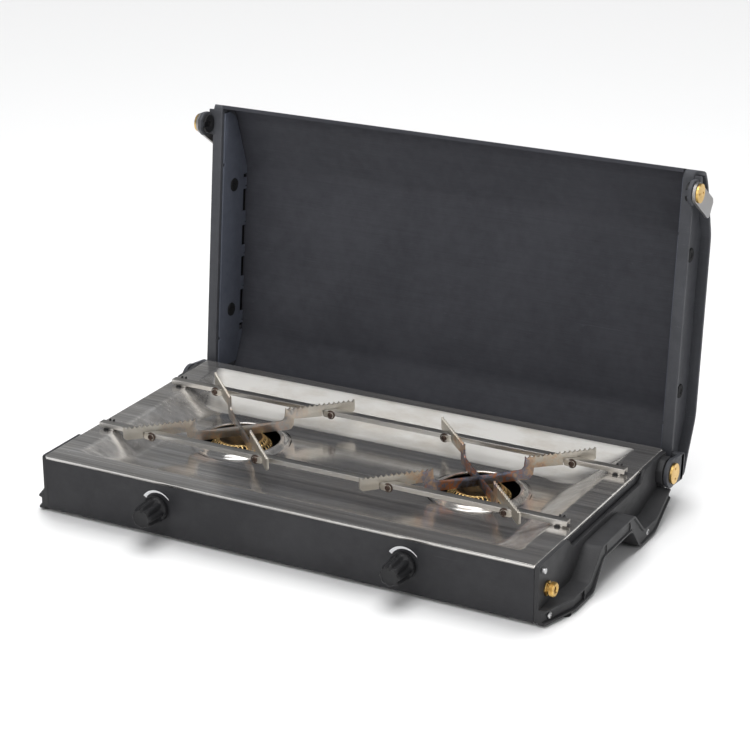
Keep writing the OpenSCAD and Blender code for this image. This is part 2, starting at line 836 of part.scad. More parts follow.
module lid_side(side) {
    color("#3a3b3d") on_side(side) lid_place() difference() {
        union() {
            x_prism(lid_in_x, half_w) lid_shape();
            x_prism(half_w, half_w + lid_flange) lid_rim_outline();
            x_prism(half_w, hinge_arm_x + hinge_arm_t) polygon([[-30, rim_up + 4.5], [12, rim_up + 4.5],
                [lid_rear, rim_up + 16], [lid_rear, rim_up + 31], [-lid_rear + 11, rim_up + 34],
                [-30, rim_up + 34]]);
            x_prism(hinge_arm_x, hinge_arm_x + hinge_arm_t) {
                circle(11);
                polygon([[-11, 0], [-24, rim_up + 6], [lid_rear, rim_up + 20], [11, 0]]);
            }
            x_prism(half_w, ear_x + ear_t) polygon([[-latch_u - ear_r, rim_up + 1.5],
                [-latch_u + ear_r, rim_up + 1.5], [-latch_u + ear_r, rim_up + 20],
                [-latch_u - ear_r, rim_up + 20]]);
            x_prism(ear_x, ear_x + ear_t) {
                translate([-latch_u, latch_w]) circle(ear_r);
                translate([-latch_u - ear_r, latch_w]) square([2 * ear_r, latch_drop + 4]);
            }
        }
        x_rod(hinge_clear_r, 0, hinge_arm_x - small_gap, 0, 0);
        x_rod(hinge_r + run_gap, 0, hinge_arm_x + hinge_arm_t + cut, 0, 0);
        x_rod(shank_r + run_gap, ear_x - cut, ear_x + ear_t + cut, -latch_u, latch_w);
        for (spot = plug_spots)
            x_rod(plug_r, lid_in_x - cut, half_w + cut, -spot[0], rim_up + spot[1]);
    }
}

module lid_side_left() {
    lid_side(-1);
}

module lid_side_right() {
    lid_side(1);
}

// Rubber plugs through the lid sides
module lid_plugs() {
    color("#232325") for (side = [-1, 1]) on_side(side) lid_place() for (spot = plug_spots) {
        x_rod(plug_r + 2, lid_in_x - 1.2, lid_in_x, -spot[0], rim_up + spot[1]);
        x_rod(plug_r, lid_in_x, half_w, -spot[0], rim_up + spot[1]);
        x_rod(plug_r + 2, half_w, half_w + 1.2, -spot[0], rim_up + spot[1]);
    }
}

// ---- latches ----

// Slotted cam that swallows the catch stud, with the shank that turns in the lid's ear
module latch_cam(side) {
    color("#2a2a2c") on_side(side) latch_place() {
        difference() {
            x_rod(cam_r, cam_x, cam_x + cam_t, 0, 0);
            x_rod(stud_r + part_gap, cam_x - cut, cam_x + cam_t, 0, 0);
            block([cam_x - cut, -stud_r - part_gap, -cam_r - cut], [cam_x + cam_t, stud_r + part_gap, 0]);
        }
        x_rod(shank_r, cam_x + cam_t, latch_cap_x, 0, 0);
    }
}

module latch_cam_left() {
    latch_cam(-1);
}

module latch_cam_right() {
    latch_cam(1);
}

module latch_lever(side) {
    color("#808080") on_side(side) latch_place() rotate([lever_angle, 0, 0]) difference() {
        x_prism(lever_x, lever_x + lever_t) {
            circle(lever_w / 2);
            polygon([[0, -lever_w / 2], [lever_len - 3, -lever_w / 2], [lever_len, -lever_w / 2 + 3],
                [lever_len, lever_w / 2 - 3], [lever_len - 3, lever_w / 2], [0, lever_w / 2]]);
        }
        x_rod(shank_r, lever_x - cut, lever_x + lever_t + cut, 0, 0);
    }
}

module latch_lever_left() {
    latch_lever(-1);
}

module latch_lever_right() {
    latch_lever(1);
}

module latch_cap(side) {
    color("#c9a24a") on_side(side) latch_place() spanner_cap(latch_cap_r, latch_cap_x);
}

module latch_cap_left() {
    latch_cap(-1);
}

module latch_cap_right() {
    latch_cap(1);
}

// ---- knobs ----

module knob(side) {
    skirt_h = knob_reach - 10;
    color("#1f1f22") translate([side * burner_x, front_y, gas_z]) difference() {
        union() {
            y_rod(knob_r, -skirt_h, -2, 0, 0);
            y_rod(knob_cap_r, -knob_reach, -skirt_h, 0, 0);
        }
        for (i = [0:5])
            rotate([0, i * 60, 0]) y_rod(5, -skirt_h - cut, -6, knob_r + 3.2, 0);
        y_rod(spindle_r, -14, 0, 0, 0);
    }
}

module knob_left() {
    knob(-1);
}

module knob_right() {
    knob(1);
}

module valve_spindle(side) {
    color("#9a9b9c") y_rod(spindle_r, front_y - 14, front_y + spindle_end, side * burner_x, gas_z);
}

module valve_spindle_left() {
    valve_spindle(-1);
}

module valve_spindle_right() {
    valve_spindle(1);
}

base_tray();
side_frame_left();
side_frame_right();
frame_screws();
catch_studs();
foot_pads();
drip_pan();
rail_clips();
gas_line();
gas_inlet();
inlet_nut();
valve_body_left();
valve_body_right();
jet_left();
jet_right();
mixing_tube_left();
mixing_tube_right();
burner_bowl_left();
burner_bowl_right();
burner_ring_left();
burner_ring_right();
burner_cone_left();
burner_cone_right();
burner_bracket_left();
burner_bracket_right();
hinge_bolt_left();
hinge_bolt_right();
hinge_cap_left();
hinge_cap_right();
front_rail();
rear_rail();
pot_arm_left_a();
pot_arm_left_b();
pot_arm_right_a();
pot_arm_right_b();
arm_rivets();
lid_panel();
lid_side_left();
lid_side_right();
lid_plugs();
latch_cam_left();
latch_cam_right();
latch_lever_left();
latch_lever_right();
latch_cap_left();
latch_cap_right();
knob_left();
knob_right();
valve_spindle_left();
valve_spindle_right();
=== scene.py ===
"""A folding two-burner camping stove with its lid open, on a pale studio floor."""
from __future__ import annotations

import json
import logging
import math
from dataclasses import dataclass
from enum import Enum
from functools import reduce
from itertools import product
from typing import Iterable, Sequence

import bmesh
import bpy
import numpy as np
from mathutils import Matrix, Vector
from mathutils.geometry import delaunay_2d_cdt


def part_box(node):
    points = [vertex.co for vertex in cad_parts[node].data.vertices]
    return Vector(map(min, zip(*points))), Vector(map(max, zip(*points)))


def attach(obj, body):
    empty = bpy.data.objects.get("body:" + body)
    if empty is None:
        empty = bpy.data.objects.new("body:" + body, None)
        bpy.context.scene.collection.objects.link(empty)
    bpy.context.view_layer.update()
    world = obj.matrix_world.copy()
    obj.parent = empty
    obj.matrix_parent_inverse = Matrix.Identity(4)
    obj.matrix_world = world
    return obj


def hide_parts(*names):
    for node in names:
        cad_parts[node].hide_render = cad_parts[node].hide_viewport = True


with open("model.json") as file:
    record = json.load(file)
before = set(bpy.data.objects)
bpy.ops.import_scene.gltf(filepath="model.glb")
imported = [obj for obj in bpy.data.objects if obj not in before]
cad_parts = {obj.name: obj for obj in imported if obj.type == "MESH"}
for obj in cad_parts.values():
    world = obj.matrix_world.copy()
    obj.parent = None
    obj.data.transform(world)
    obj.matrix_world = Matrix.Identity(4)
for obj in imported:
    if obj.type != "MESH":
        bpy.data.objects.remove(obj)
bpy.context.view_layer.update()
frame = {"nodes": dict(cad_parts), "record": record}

LOG = logging.getLogger("stove")
MM = 0.001
FLIP = np.array([-1.0, 1.0])
BODIES = {n: b for b, nodes in frame["record"]["behaviour"]["bodies"].items() for n in nodes}
Colour = tuple[float, float, float]


class Side(Enum):
    """The two sides of the stove, as the sign of X."""

    LEFT = -1
    RIGHT = 1

    @property
    def word(self) -> str:
        """The side's name in lower case."""
        return self.name.lower()


class Plane(Enum):
    """The direction in which a flat outline is given its thickness."""

    X = "x"
    Y = "y"
    Z = "z"

    def place(self, flat: np.ndarray, height: np.ndarray) -> np.ndarray:
        """Stacks flat coordinates and a height into 3-D points.

        Args:
            flat: Array of outline coordinates, last axis 2.
            height: Array of heights along this direction, one per point.

        Returns:
            Array of points, last axis 3.
        """
        a, b = flat[..., 0], flat[..., 1]
        order = {Plane.X: (height, a, b), Plane.Y: (a, height, b), Plane.Z: (a, b, height)}
        return np.stack(order[self], axis=-1)


# ---------------------------------------------------------------- surfaces


@dataclass
class Shape:
    """Points in millimetres and the faces between them."""

    points: np.ndarray
    faces: list[tuple[int, ...]]

    def __add__(self, other: "Shape") -> "Shape":
        """Joins two shapes into one mesh of separate shells."""
        start = len(self.points)
        moved = [tuple(i + start for i in face) for face in other.faces]
        return Shape(np.vstack([self.points, other.points]), self.faces + moved)

    def mirrored(self, side: Side) -> "Shape":
        """The same shape, or its mirror image in X for the left side."""
        return Shape(self.points * np.array([side.value, 1.0, 1.0]), self.faces)

    def moved(self, x: float = 0.0, y: float = 0.0, z: float = 0.0) -> "Shape":
        """The shape shifted by x, y and z millimetres."""
        return Shape(self.points + np.array([x, y, z]), self.faces)

    def turned(self, matrix: np.ndarray) -> "Shape":
        """The shape multiplied by a 3 by 3 matrix."""
        return Shape(self.points @ np.asarray(matrix).T, self.faces)

    def walls(self) -> "Shape":
        """The shape without its end caps, so only its quads."""
        return Shape(self.points, [face for face in self.faces if len(face) == 4])

    def pair(self) -> "Shape":
        """The mirror image in X and the shape itself, in one mesh."""
        return self.mirrored(Side.LEFT) + self


def joined(shapes: Iterable[Shape]) -> Shape:
    """All the shapes in one mesh, in their order."""
    return reduce(Shape.__add__, shapes)


def grid_faces(rows: int, columns: int, wrap_rows: bool, wrap_columns: bool) -> list[tuple[int, ...]]:
    """Quads of a grid of points, row after row.

    Args:
        rows: Number of rows of points.
        columns: Number of points in a row.
        wrap_rows: Whether the last row joins the first.
        wrap_columns: Whether each row closes on itself.

    Returns:
        Faces as tuples of point numbers.
    """
    i, j = np.meshgrid(
        np.arange(rows if wrap_rows else rows - 1),
        np.arange(columns if wrap_columns else columns - 1),
        indexing="ij",
    )
    i2, j2 = (i + 1) % rows, (j + 1) % columns
    quads = np.stack([i * columns + j, i * columns + j2, i2 * columns + j2, i2 * columns + j], -1)
    return [tuple(q) for q in quads.reshape(-1, 4).tolist()]


def loft(sections: np.ndarray, closed: bool = True, ring: bool = False, caps: bool = True) -> Shape:
    """Surface through a row of sections: point (i, j) is section i's point j.

    Args:
        sections: Array of shape (sections, points, 3) in millimetres.
        closed: Whether each section closes on itself.
        ring: Whether the last section joins the first.
        caps: Whether the two ends are closed with a flat face.

    Returns:
        The lofted shape.
    """
    rows, columns = sections.shape[:2]
    faces = grid_faces(rows, columns, ring, closed)
    if caps and closed and not ring:
        faces.append(tuple(range(columns))[::-1])
        faces.append(tuple(range((rows - 1) * columns, rows * columns)))
    return Shape(sections.reshape(-1, 3), faces)


def inset(outline: np.ndarray, distance: float | np.ndarray) -> np.ndarray:
    """Anticlockwise outline moved inwards: each corner goes along its mitre by distance over cosine.

    Args:
        outline: Array of corners, shape (points, 2), anticlockwise.
        distance: How far the edges move inwards.

    Returns:
        The moved outline.
    """
    ahead = np.roll(outline, -1, 0) - outline
    ahead /= np.linalg.norm(ahead, axis=1, keepdims=True)
    behind = np.roll(ahead, 1, 0)
    normal_a = np.stack([-ahead[:, 1], ahead[:, 0]], 1)
    normal_b = np.stack([-behind[:, 1], behind[:, 0]], 1)
    mitre = normal_a + normal_b
    mitre /= np.maximum(1.0 + np.sum(normal_a * normal_b, 1, keepdims=True), 0.35)
    return outline + mitre * distance


def anticlockwise(outline: Sequence[Sequence[float]] | np.ndarray) -> np.ndarray:
    """The outline as an array that runs anticlockwise, by the sign of its shoelace area."""
    points = np.asarray(outline, float)
    x, y = points.T
    area = np.sum(x * np.roll(y, -1) - np.roll(x, -1) * y)
    return points if area > 0 else points[::-1]


def softened(corners: np.ndarray, reach: float | np.ndarray, steps: int = 4, closed: bool = True) -> np.ndarray:
    """Corners replaced by parabolic arcs (1-t)^2 A + 2t(1-t) C + t^2 B about each corner C.

    Args:
        corners: Array of corners, shape (points, 2).
        reach: Distance from the corner at which its arc starts, one or per corner.
        steps: Number of spans in each arc.
        closed: Whether the line closes on itself; an open line keeps its ends.

    Returns:
        The rounded line.
    """
    before, after = np.roll(corners, 1, 0) - corners, np.roll(corners, -1, 0) - corners
    length_b = np.linalg.norm(before, axis=1, keepdims=True)
    length_a = np.linalg.norm(after, axis=1, keepdims=True)
    limit = 0.45 * np.minimum(length_a, length_b)
    size = np.minimum(np.broadcast_to(np.asarray(reach, float), len(corners))[:, None], limit)
    start, end = corners + before / length_b * size, corners + after / length_a * size
    t = np.linspace(0.0, 1.0, steps + 1)[None, :, None]
    arcs = (1 - t) ** 2 * start[:, None] + 2 * t * (1 - t) * corners[:, None] + t**2 * end[:, None]
    if closed:
        return arcs.reshape(-1, 2)
    return np.vstack([corners[:1], arcs[1:-1].reshape(-1, 2), corners[-1:]])


def plate(outline: np.ndarray, low: float, high: float, edge: float, plane: Plane, steps: int = 3) -> Shape:
    """Flat plate with rounded rims: ring k is the outline inset by r(1-sin a) at height r(1-cos a).

    Args:
        outline: Corners of the plate, shape (points, 2).
        low: Height of its lower face.
        high: Height of its upper face.
        edge: Radius of its rounded rims.
        plane: Direction of its thickness.
        steps: Number of spans in each rounded rim.

    Returns:
        The plate.
    """
    outline = anticlockwise(outline)
    turn = np.linspace(0.0, math.pi / 2, steps + 1)
    insets = np.concatenate([edge * (1 - np.sin(turn)), edge * (1 - np.sin(turn[::-1]))])
    heights = np.concatenate([low + edge * (1 - np.cos(turn)), high - edge * (1 - np.cos(turn[::-1]))])
    rings = np.stack([inset(outline, d) for d in insets])
    tall = np.broadcast_to(heights[:, None], rings.shape[:2])
    return loft(plane.place(rings, tall))


def lathe(profile: Sequence[Sequence[float]], plane: Plane, spans: int = 48) -> Shape:
    """Surface of revolution: each (radius, height) goes round the axis, r(cos a, sin a) at that height.

    Args:
        profile: Radius and height of each point, from one end to the other.
        plane: Axis of revolution.
        spans: Number of spans round the axis.

    Returns:
        The turned shape, closed at its ends.
    """
    radius, height = np.asarray(profile, float).T
    angle = np.arange(spans) / spans * 2 * math.pi
    flat = radius[:, None, None] * around(angle)[None]
    tall = np.broadcast_to(height[:, None], flat.shape[:2])
    return loft(plane.place(flat, tall))


def arc(centre: tuple[float, float], radius: float, first: float, last: float, steps: int) -> np.ndarray:
    """Points on a circular arc between two angles in degrees."""
    angle = np.radians(np.linspace(first, last, steps + 1))
    return np.asarray(centre) + radius * around(angle)


def around(angle: np.ndarray) -> np.ndarray:
    """Unit vectors (cos, sin) at angles in radians."""
    return np.stack([np.cos(angle), np.sin(angle)], 1)


def regular(sides: int, radius: float, start: float) -> np.ndarray:
    """Corners of a regular polygon, from a start angle in degrees."""
    return around(np.radians(np.arange(sides) * (360 / sides) + start)) * radius


def rectangle(x0: float, x1: float, z0: float, z1: float) -> np.ndarray:
    """Corners of a rectangle, anticlockwise from its lowest corner."""
    return np.array([(x0, z0), (x1, z0), (x1, z1), (x0, z1)], float)


# ---------------------------------------------------------------- pieces


def finish_mesh(mesh: bpy.types.Mesh, crease: float) -> None:
    """Merges doubles, turns the faces outwards and shades all but sharp edges smoothly."""
    work = bmesh.new()
    work.from_mesh(mesh)
    bmesh.ops.remove_doubles(work, verts=work.verts, dist=1e-6)
    bmesh.ops.dissolve_degenerate(work, edges=work.edges, dist=1e-7)
    bmesh.ops.recalc_face_normals(work, faces=work.faces)
    work.to_mesh(mesh)
    work.free()
    mesh.shade_smooth()
    mesh.set_sharp_from_angle(angle=math.radians(crease))


def add_piece(
    name: str,
    shape: Shape,
    material: bpy.types.Material,
    like: str,
    stands_for: Sequence[str] = (),
    crease: float = 32.0,
) -> bpy.types.Object:
    """Makes a shape an object that rides with a CAD node's body.

    Args:
        name: Name of the piece.
        shape: Its points in millimetres, and its faces.
        material: Its finish.
        like: CAD node whose body it rides with.
        stands_for: CAD nodes that it replaces.
        crease: Angle in degrees above which an edge stays sharp.

    Returns:
        The new object.
    """
    mesh = bpy.data.meshes.new(name)
    mesh.from_pydata((shape.points * MM).tolist(), [], shape.faces)
    mesh.update()
    finish_mesh(mesh, crease)
    mesh.materials.append(material)
    piece = bpy.data.objects.new(name, mesh)
    bpy.context.collection.objects.link(piece)
    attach(piece, BODIES[like])
    if stands_for:
        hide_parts(*stands_for)
    LOG.info("%s: %d faces on %s", name, len(mesh.polygons), BODIES[like])
    return piece


def refine(node: str, material: bpy.types.Material, edge: float) -> None:
    """Replaces a CAD node with a merged copy of it whose sharp edges are rounded.

    Args:
        node: Name of the CAD node.
        material: Its finish.
        edge: Radius of the rounded edges in millimetres.
    """
    mesh = frame["nodes"][node].data.copy()
    work = bmesh.new()
    work.from_mesh(mesh)
    bmesh.ops.remove_doubles(work, verts=work.verts, dist=2e-6)
    bmesh.ops.dissolve_limit(
        work, angle_limit=math.radians(0.4), verts=work.verts, edges=work.edges, use_dissolve_boundaries=False
    )
    work.to_mesh(mesh)
    work.free()
    mesh.shade_smooth()
    mesh.set_sharp_from_angle(angle=math.radians(32))
    mesh.materials.clear()
    mesh.materials.append(material)
    piece = bpy.data.objects.new(node + "_worked", mesh)
    bpy.context.collection.objects.link(piece)
    bevel = piece.modifiers.new("rounded_edges", "BEVEL")
    bevel.width = edge * MM
    bevel.segments = 2
    bevel.limit_method = "ANGLE"
    bevel.angle_limit = math.radians(32)
    bevel.harden_normals = True
    bevel.miter_outer = "MITER_ARC"
    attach(piece, BODIES[node])
    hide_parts(node)
    LOG.info("%s: refined from %s", piece.name, node)


def dress(node: str, material: bpy.types.Material) -> None:
    """Gives a CAD node that stays in sight its finish."""
    mesh = frame["nodes"][node].data
    if mesh.materials:
        for index in range(len(mesh.materials)):
            mesh.materials[index] = material
    else:
        mesh.materials.append(material)


# ---------------------------------------------------------------- node groups and finishes


class Sheet:
    """Short calls that fill one shader node tree."""

    def __init__(self, tree: bpy.types.NodeTree) -> None:
        self.tree = tree

    def add(self, kind: str, inputs: dict | None = None, **settings: object) -> bpy.types.Node:
        """Adds a node.

        Args:
            kind: Its bl_idname without the ShaderNode prefix.
            inputs: Values or output sockets for its inputs, by name or number.
            **settings: Properties of the node.

        Returns:
            The node.
        """
        node = self.tree.nodes.new("ShaderNode" + kind)
        for key, value in settings.items():
            setattr(node, key, value)
        for key, value in (inputs or {}).items():
            self.feed(node.inputs[key], value)
        return node

    def feed(self, socket: bpy.types.NodeSocket, value: object) -> None:
        """Links an output to a socket, or sets the socket's own value."""
        if isinstance(value, bpy.types.NodeSocket):
            self.tree.links.new(value, socket)
        else:
            socket.default_value = value

    def math(self, operation: str, a: object, b: object = 0.0, c: object = 0.0) -> bpy.types.NodeSocket:
        """A Math node's result."""
        return self.add("Math", {0: a, 1: b, 2: c}, operation=operation).outputs[0]

    def blend(self, factor: object, a: object, b: object, how: str = "MIX") -> bpy.types.NodeSocket:
        """A colour mix's result."""
        node = self.add("Mix", data_type="RGBA", blend_type=how)
        for index, value in ((0, factor), (6, a), (7, b)):
            self.feed(node.inputs[index], value)
        return node.outputs[2]

    def remap(self, value: object, a: float, b: float, c: float, d: float) -> bpy.types.NodeSocket:
        """Value carried from the range a..b to c..d, clamped."""
        return self.add("MapRange", {0: value, 1: a, 2: b, 3: c, 4: d}).outputs[0]

    def place(self, scale: tuple[float, float, float] = (1, 1, 1)) -> bpy.types.NodeSocket:
        """Object coordinates, stretched by scale."""
        where = self.add("TexCoord").outputs["Object"]
        return self.add("Mapping", {"Vector": where, "Scale": scale}).outputs[0]

    def noise(
        self, vector: object, scale: object, detail: float = 3.0, rough: float = 0.5
    ) -> bpy.types.NodeSocket:
        """A noise pattern's value."""
        settings = {"Vector": vector, "Scale": scale, "Detail": detail, "Roughness": rough}
        return self.add("TexNoise", settings).outputs["Fac"]


def rgba(colour: Colour) -> tuple[float, float, float, float]:
    """A colour with full opacity."""
    return (*colour, 1.0)


def new_group(name: str, inputs: dict[str, tuple[str, object]], outputs: dict[str, str]) -> tuple:
    """Starts a shader node group with named sockets.

    Args:
        name: Name of the group.
        inputs: Kind and default of each input: "Float", "Color" or "Vector".
        outputs: Kind of each output.

    Returns:
        The group's tree, its Sheet, its input node and its output node.
    """
    tree = bpy.data.node_groups.new(name, "ShaderNodeTree")
    for key, (kind, default) in inputs.items():
        socket = tree.interface.new_socket(key, in_out="INPUT", socket_type="NodeSocket" + kind)
        socket.default_value = default
    for key, kind in outputs.items():
        tree.interface.new_socket(key, in_out="OUTPUT", socket_type="NodeSocket" + kind)
    return tree, Sheet(tree), tree.nodes.new("NodeGroupInput"), tree.nodes.new("NodeGroupOutput")


class Effects:
    """Shader node groups that several finishes share, each built once."""

    _built: dict[str, bpy.types.NodeTree] = {}

    @classmethod
    def get(cls, name: str) -> bpy.types.NodeTree:
        """The named group, built on first use."""
        if name not in cls._built:
            cls._built[name] = getattr(cls, "_" + name)()
        return cls._built[name]

    @staticmethod
    def _grain() -> bpy.types.NodeTree:
        """Fine raised grain: two noises of different size, the smaller at half strength."""
        tree, s, given, out = new_group("grain", {"Scale": ("Float", 1500.0)}, {"Height": "Float"})
        where = s.place()
        coarse = s.noise(where, given.outputs["Scale"], 2.0)
        fine = s.noise(where, s.math("MULTIPLY", given.outputs["Scale"], 2.7), 1.0)
        s.feed(out.inputs["Height"], s.math("MULTIPLY_ADD", fine, 0.5, coarse))
        return tree

    @staticmethod
    def _handling() -> bpy.types.NodeTree:
        """Soft patches from handling: 0 where the surface is clean, 1 where it is rubbed."""
        tree, s, given, out = new_group("handling", {"Scale": ("Float", 14.0)}, {"Mask": "Float"})
        where = s.place()
        broad = s.noise(where, given.outputs["Scale"], 5.0, 0.6)
        small = s.noise(where, s.math("MULTIPLY", given.outputs["Scale"], 9.0), 3.0, 0.6)
        mixed = s.math("MULTIPLY_ADD", small, 0.35, s.math("MULTIPLY", broad, 0.65))
        s.feed(out.inputs["Mask"], s.remap(mixed, 0.38, 0.62, 0.0, 1.0))
        return tree

    @staticmethod
    def _brushing() -> bpy.types.NodeTree:
        """Long fine lines along X, as rolling and brushing leave them."""
        tree, s, given, out = new_group("brushing", {"Scale": ("Float", 1.0)}, {"Lines": "Float"})
        where = s.place((6.0, 1400.0, 1400.0))
        long_lines = s.noise(where, given.outputs["Scale"], 3.0, 0.7)
        short = s.noise(s.place((40.0, 3200.0, 3200.0)), given.outputs["Scale"], 2.0, 0.6)
        s.feed(out.inputs["Lines"], s.math("MULTIPLY_ADD", short, 0.4, s.math("MULTIPLY", long_lines, 0.6)))
        return tree

    @staticmethod
    def _scratches() -> bpy.types.NodeTree:
        """Sparse hair scratches: narrow crests of a stretched noise, at two angles."""
        tree, s, given, out = new_group("scratches", {"Density": ("Float", 1.0)}, {"Mask": "Float"})
        where = s.add("TexCoord").outputs["Object"]
        marks = []
        for turn, scale in ((0.6, 9.0), (-1.1, 13.0)):
            settings = {"Vector": where, "Rotation": (0.0, 0.0, turn), "Scale": (scale, 420.0, 420.0)}
            lay = s.add("Mapping", settings)
            ridge = s.math("ABSOLUTE", s.math("SUBTRACT", s.noise(lay.outputs[0], 1.0, 1.0), 0.5))
            marks.append(s.remap(ridge, 0.0, 0.006, 1.0, 0.0))
        patches = s.remap(s.noise(where, 26.0, 3.0), 0.52, 0.66, 0.0, 1.0)
        both = s.math("MAXIMUM", marks[0], marks[1])
        worn = s.math("MULTIPLY", s.math("MULTIPLY", both, patches), given.outputs["Density"])
        s.feed(out.inputs["Mask"], worn)
        return tree

    @staticmethod
    def _heat() -> bpy.types.NodeTree:
        """Temper colours about a burner: distance from its centre, blurred by noise, through a ramp."""
        tree, s, given, out = new_group(
            "heat",
            {"Centre": ("Vector", (0.0, 0.0, 0.0)), "Reach": ("Float", 0.08)},
            {"Colour": "Color", "Mask": "Float"},
        )
        where = s.add("TexCoord").outputs["Object"]
        away = s.add("VectorMath", {0: where, 1: given.outputs["Centre"]}, operation="DISTANCE")
        wander = s.math("MULTIPLY_ADD", s.noise(where, 75.0, 4.0, 0.7), 1.5, -0.75)
        share = s.math("DIVIDE", away.outputs["Value"], given.outputs["Reach"])
        level = s.math("ADD", share, wander)
        ramp = s.add("ValToRGB", {0: level})
        stops = ((0.0, (0.14, 0.1, 0.08)), (0.2, (0.2, 0.25, 0.36)), (0.32, (0.6, 0.22, 0.08)),
                 (0.5, (0.2, 0.23, 0.32)), (0.66, (0.6, 0.3, 0.12)), (0.82, (0.64, 0.46, 0.27)),
                 (1.0, (0.64, 0.6, 0.52)))
        while len(ramp.color_ramp.elements) < len(stops):
            ramp.color_ramp.elements.new(0.5)
        for element, (place, colour) in zip(ramp.color_ramp.elements, stops):
            element.position, element.color = place, rgba(colour)
        s.feed(out.inputs["Colour"], ramp.outputs[0])
        s.feed(out.inputs["Mask"], s.remap(level, 0.45, 1.0, 1.0, 0.0))
        return tree


@dataclass(frozen=True)
class Finish:
    """A named finish. Subclasses say how its shader is filled."""

    name: str
    colour: Colour
    roughness: float = 0.5

    def material(self) -> bpy.types.Material:
        """The finish's material, built once."""
        title = self.name + "_finish"
        found = bpy.data.materials.get(title)
        if found:
            return found
        made = bpy.data.materials.new(title)
        made.use_nodes = True
        made.diffuse_color = rgba(self.colour)
        sheet = Sheet(made.node_tree)
        shader = made.node_tree.nodes["Principled BSDF"]
        shader.inputs["Base Color"].default_value = rgba(self.colour)
        shader.inputs["Roughness"].default_value = self.roughness
        self.fill(sheet, shader)
        return made

    def fill(self, s: Sheet, shader: bpy.types.Node) -> None:
        """Fills the shader."""

    @staticmethod
    def effect(s: Sheet, name: str, **values: object) -> bpy.types.Node:
        """Places a shared effect in the material, with its own values."""
        node = s.add("Group", node_tree=Effects.get(name))
        for key, value in values.items():
            s.feed(node.inputs[key], value)
        return node

    @staticmethod
    def raise_by(s: Sheet, shader: bpy.types.Node, height: object, strength: float, depth: float) -> None:
        """Feeds a Bump node of that strength and depth in metres into the shader's normal."""
        bump = s.add("Bump", {"Height": height, "Strength": strength, "Distance": depth})
        s.feed(shader.inputs["Normal"], bump.outputs[0])


@dataclass(frozen=True)
class Coating(Finish):
    """Paint or moulded plastic with a fine grain, rubbed patches and hair scratches."""

    grain: float = 1500.0
    depth: float = 0.00006
    sheen: float = 0.35
    rubbed: float = 0.1
    lines: float = 0.0

    def fill(self, s: Sheet, shader: bpy.types.Node) -> None:
        """Colour and roughness shift with handling; the grain raises the surface."""
        grain = self.effect(s, "grain", Scale=self.grain).outputs[0]
        handled = self.effect(s, "handling", Scale=11.0).outputs[0]
        marks = self.effect(s, "scratches", Density=0.5).outputs[0]
        lighter = rgba(tuple(min(1.0, c * 1.22 + 0.004) for c in self.colour))
        tone = s.blend(handled, rgba(self.colour), lighter)
        if self.lines:
            brushed = self.effect(s, "brushing").outputs[0]
            faint = s.remap(brushed, 0.3, 0.7, 1.0 - self.lines, 1.0 + self.lines)
            tone = s.blend(1.0, tone, faint, "MULTIPLY")
        scuffed = s.blend(marks, tone, rgba(tuple(c * 1.8 + 0.01 for c in self.colour)))
        s.feed(shader.inputs["Base Color"], scuffed)
        rough = s.math("MULTIPLY_ADD", handled, -self.rubbed, self.roughness + self.rubbed / 2)
        s.feed(shader.inputs["Roughness"], rough)
        shader.inputs["Specular IOR Level"].default_value = self.sheen
        self.raise_by(s, shader, grain, 0.5, self.depth)


@dataclass(frozen=True)
class Sheetmetal(Finish):
    """Brushed stainless sheet with smears, hair scratches and temper colours about the burners."""

    centres: tuple[tuple[float, float, float], ...] = ()
    reach: float = 0.08
    tints: tuple[float, float] = (0.3, 0.8)
    lines: float = 0.3
    depth: float = 0.000004

    def fill(self, s: Sheet, shader: bpy.types.Node) -> None:
        """Lines carry the bump and part of the roughness; heat colours mix over the steel."""
        lines = self.effect(s, "brushing").outputs[0]
        smear = self.effect(s, "handling", Scale=9.0).outputs[0]
        marks = self.effect(s, "scratches", Density=0.8).outputs[0]
        shade = rgba(tuple(c * 0.82 for c in self.colour))
        tone = s.blend(s.remap(lines, 0.3, 0.7, 0.0, 1.0), shade, rgba(self.colour))
        tone = s.blend(s.math("MULTIPLY", smear, 0.35), tone, rgba((0.5, 0.44, 0.36)))
        for centre, tint in zip(self.centres, self.tints):
            heat = self.effect(s, "heat", Centre=centre, Reach=self.reach)
            tone = s.blend(s.math("MULTIPLY", heat.outputs["Mask"], tint), tone, heat.outputs["Colour"])
        tone = s.blend(s.math("MULTIPLY", marks, 0.5), tone, rgba((0.95, 0.95, 0.93)))
        s.feed(shader.inputs["Base Color"], tone)
        shader.inputs["Metallic"].default_value = 1.0
        rough = s.math("MULTIPLY_ADD", smear, 0.1, self.roughness)
        rough = s.math("MULTIPLY_ADD", s.math("SUBTRACT", lines, 0.5), self.lines, rough)
        s.feed(shader.inputs["Roughness"], rough)
        self.raise_by(s, shader, lines, 0.35, self.depth)


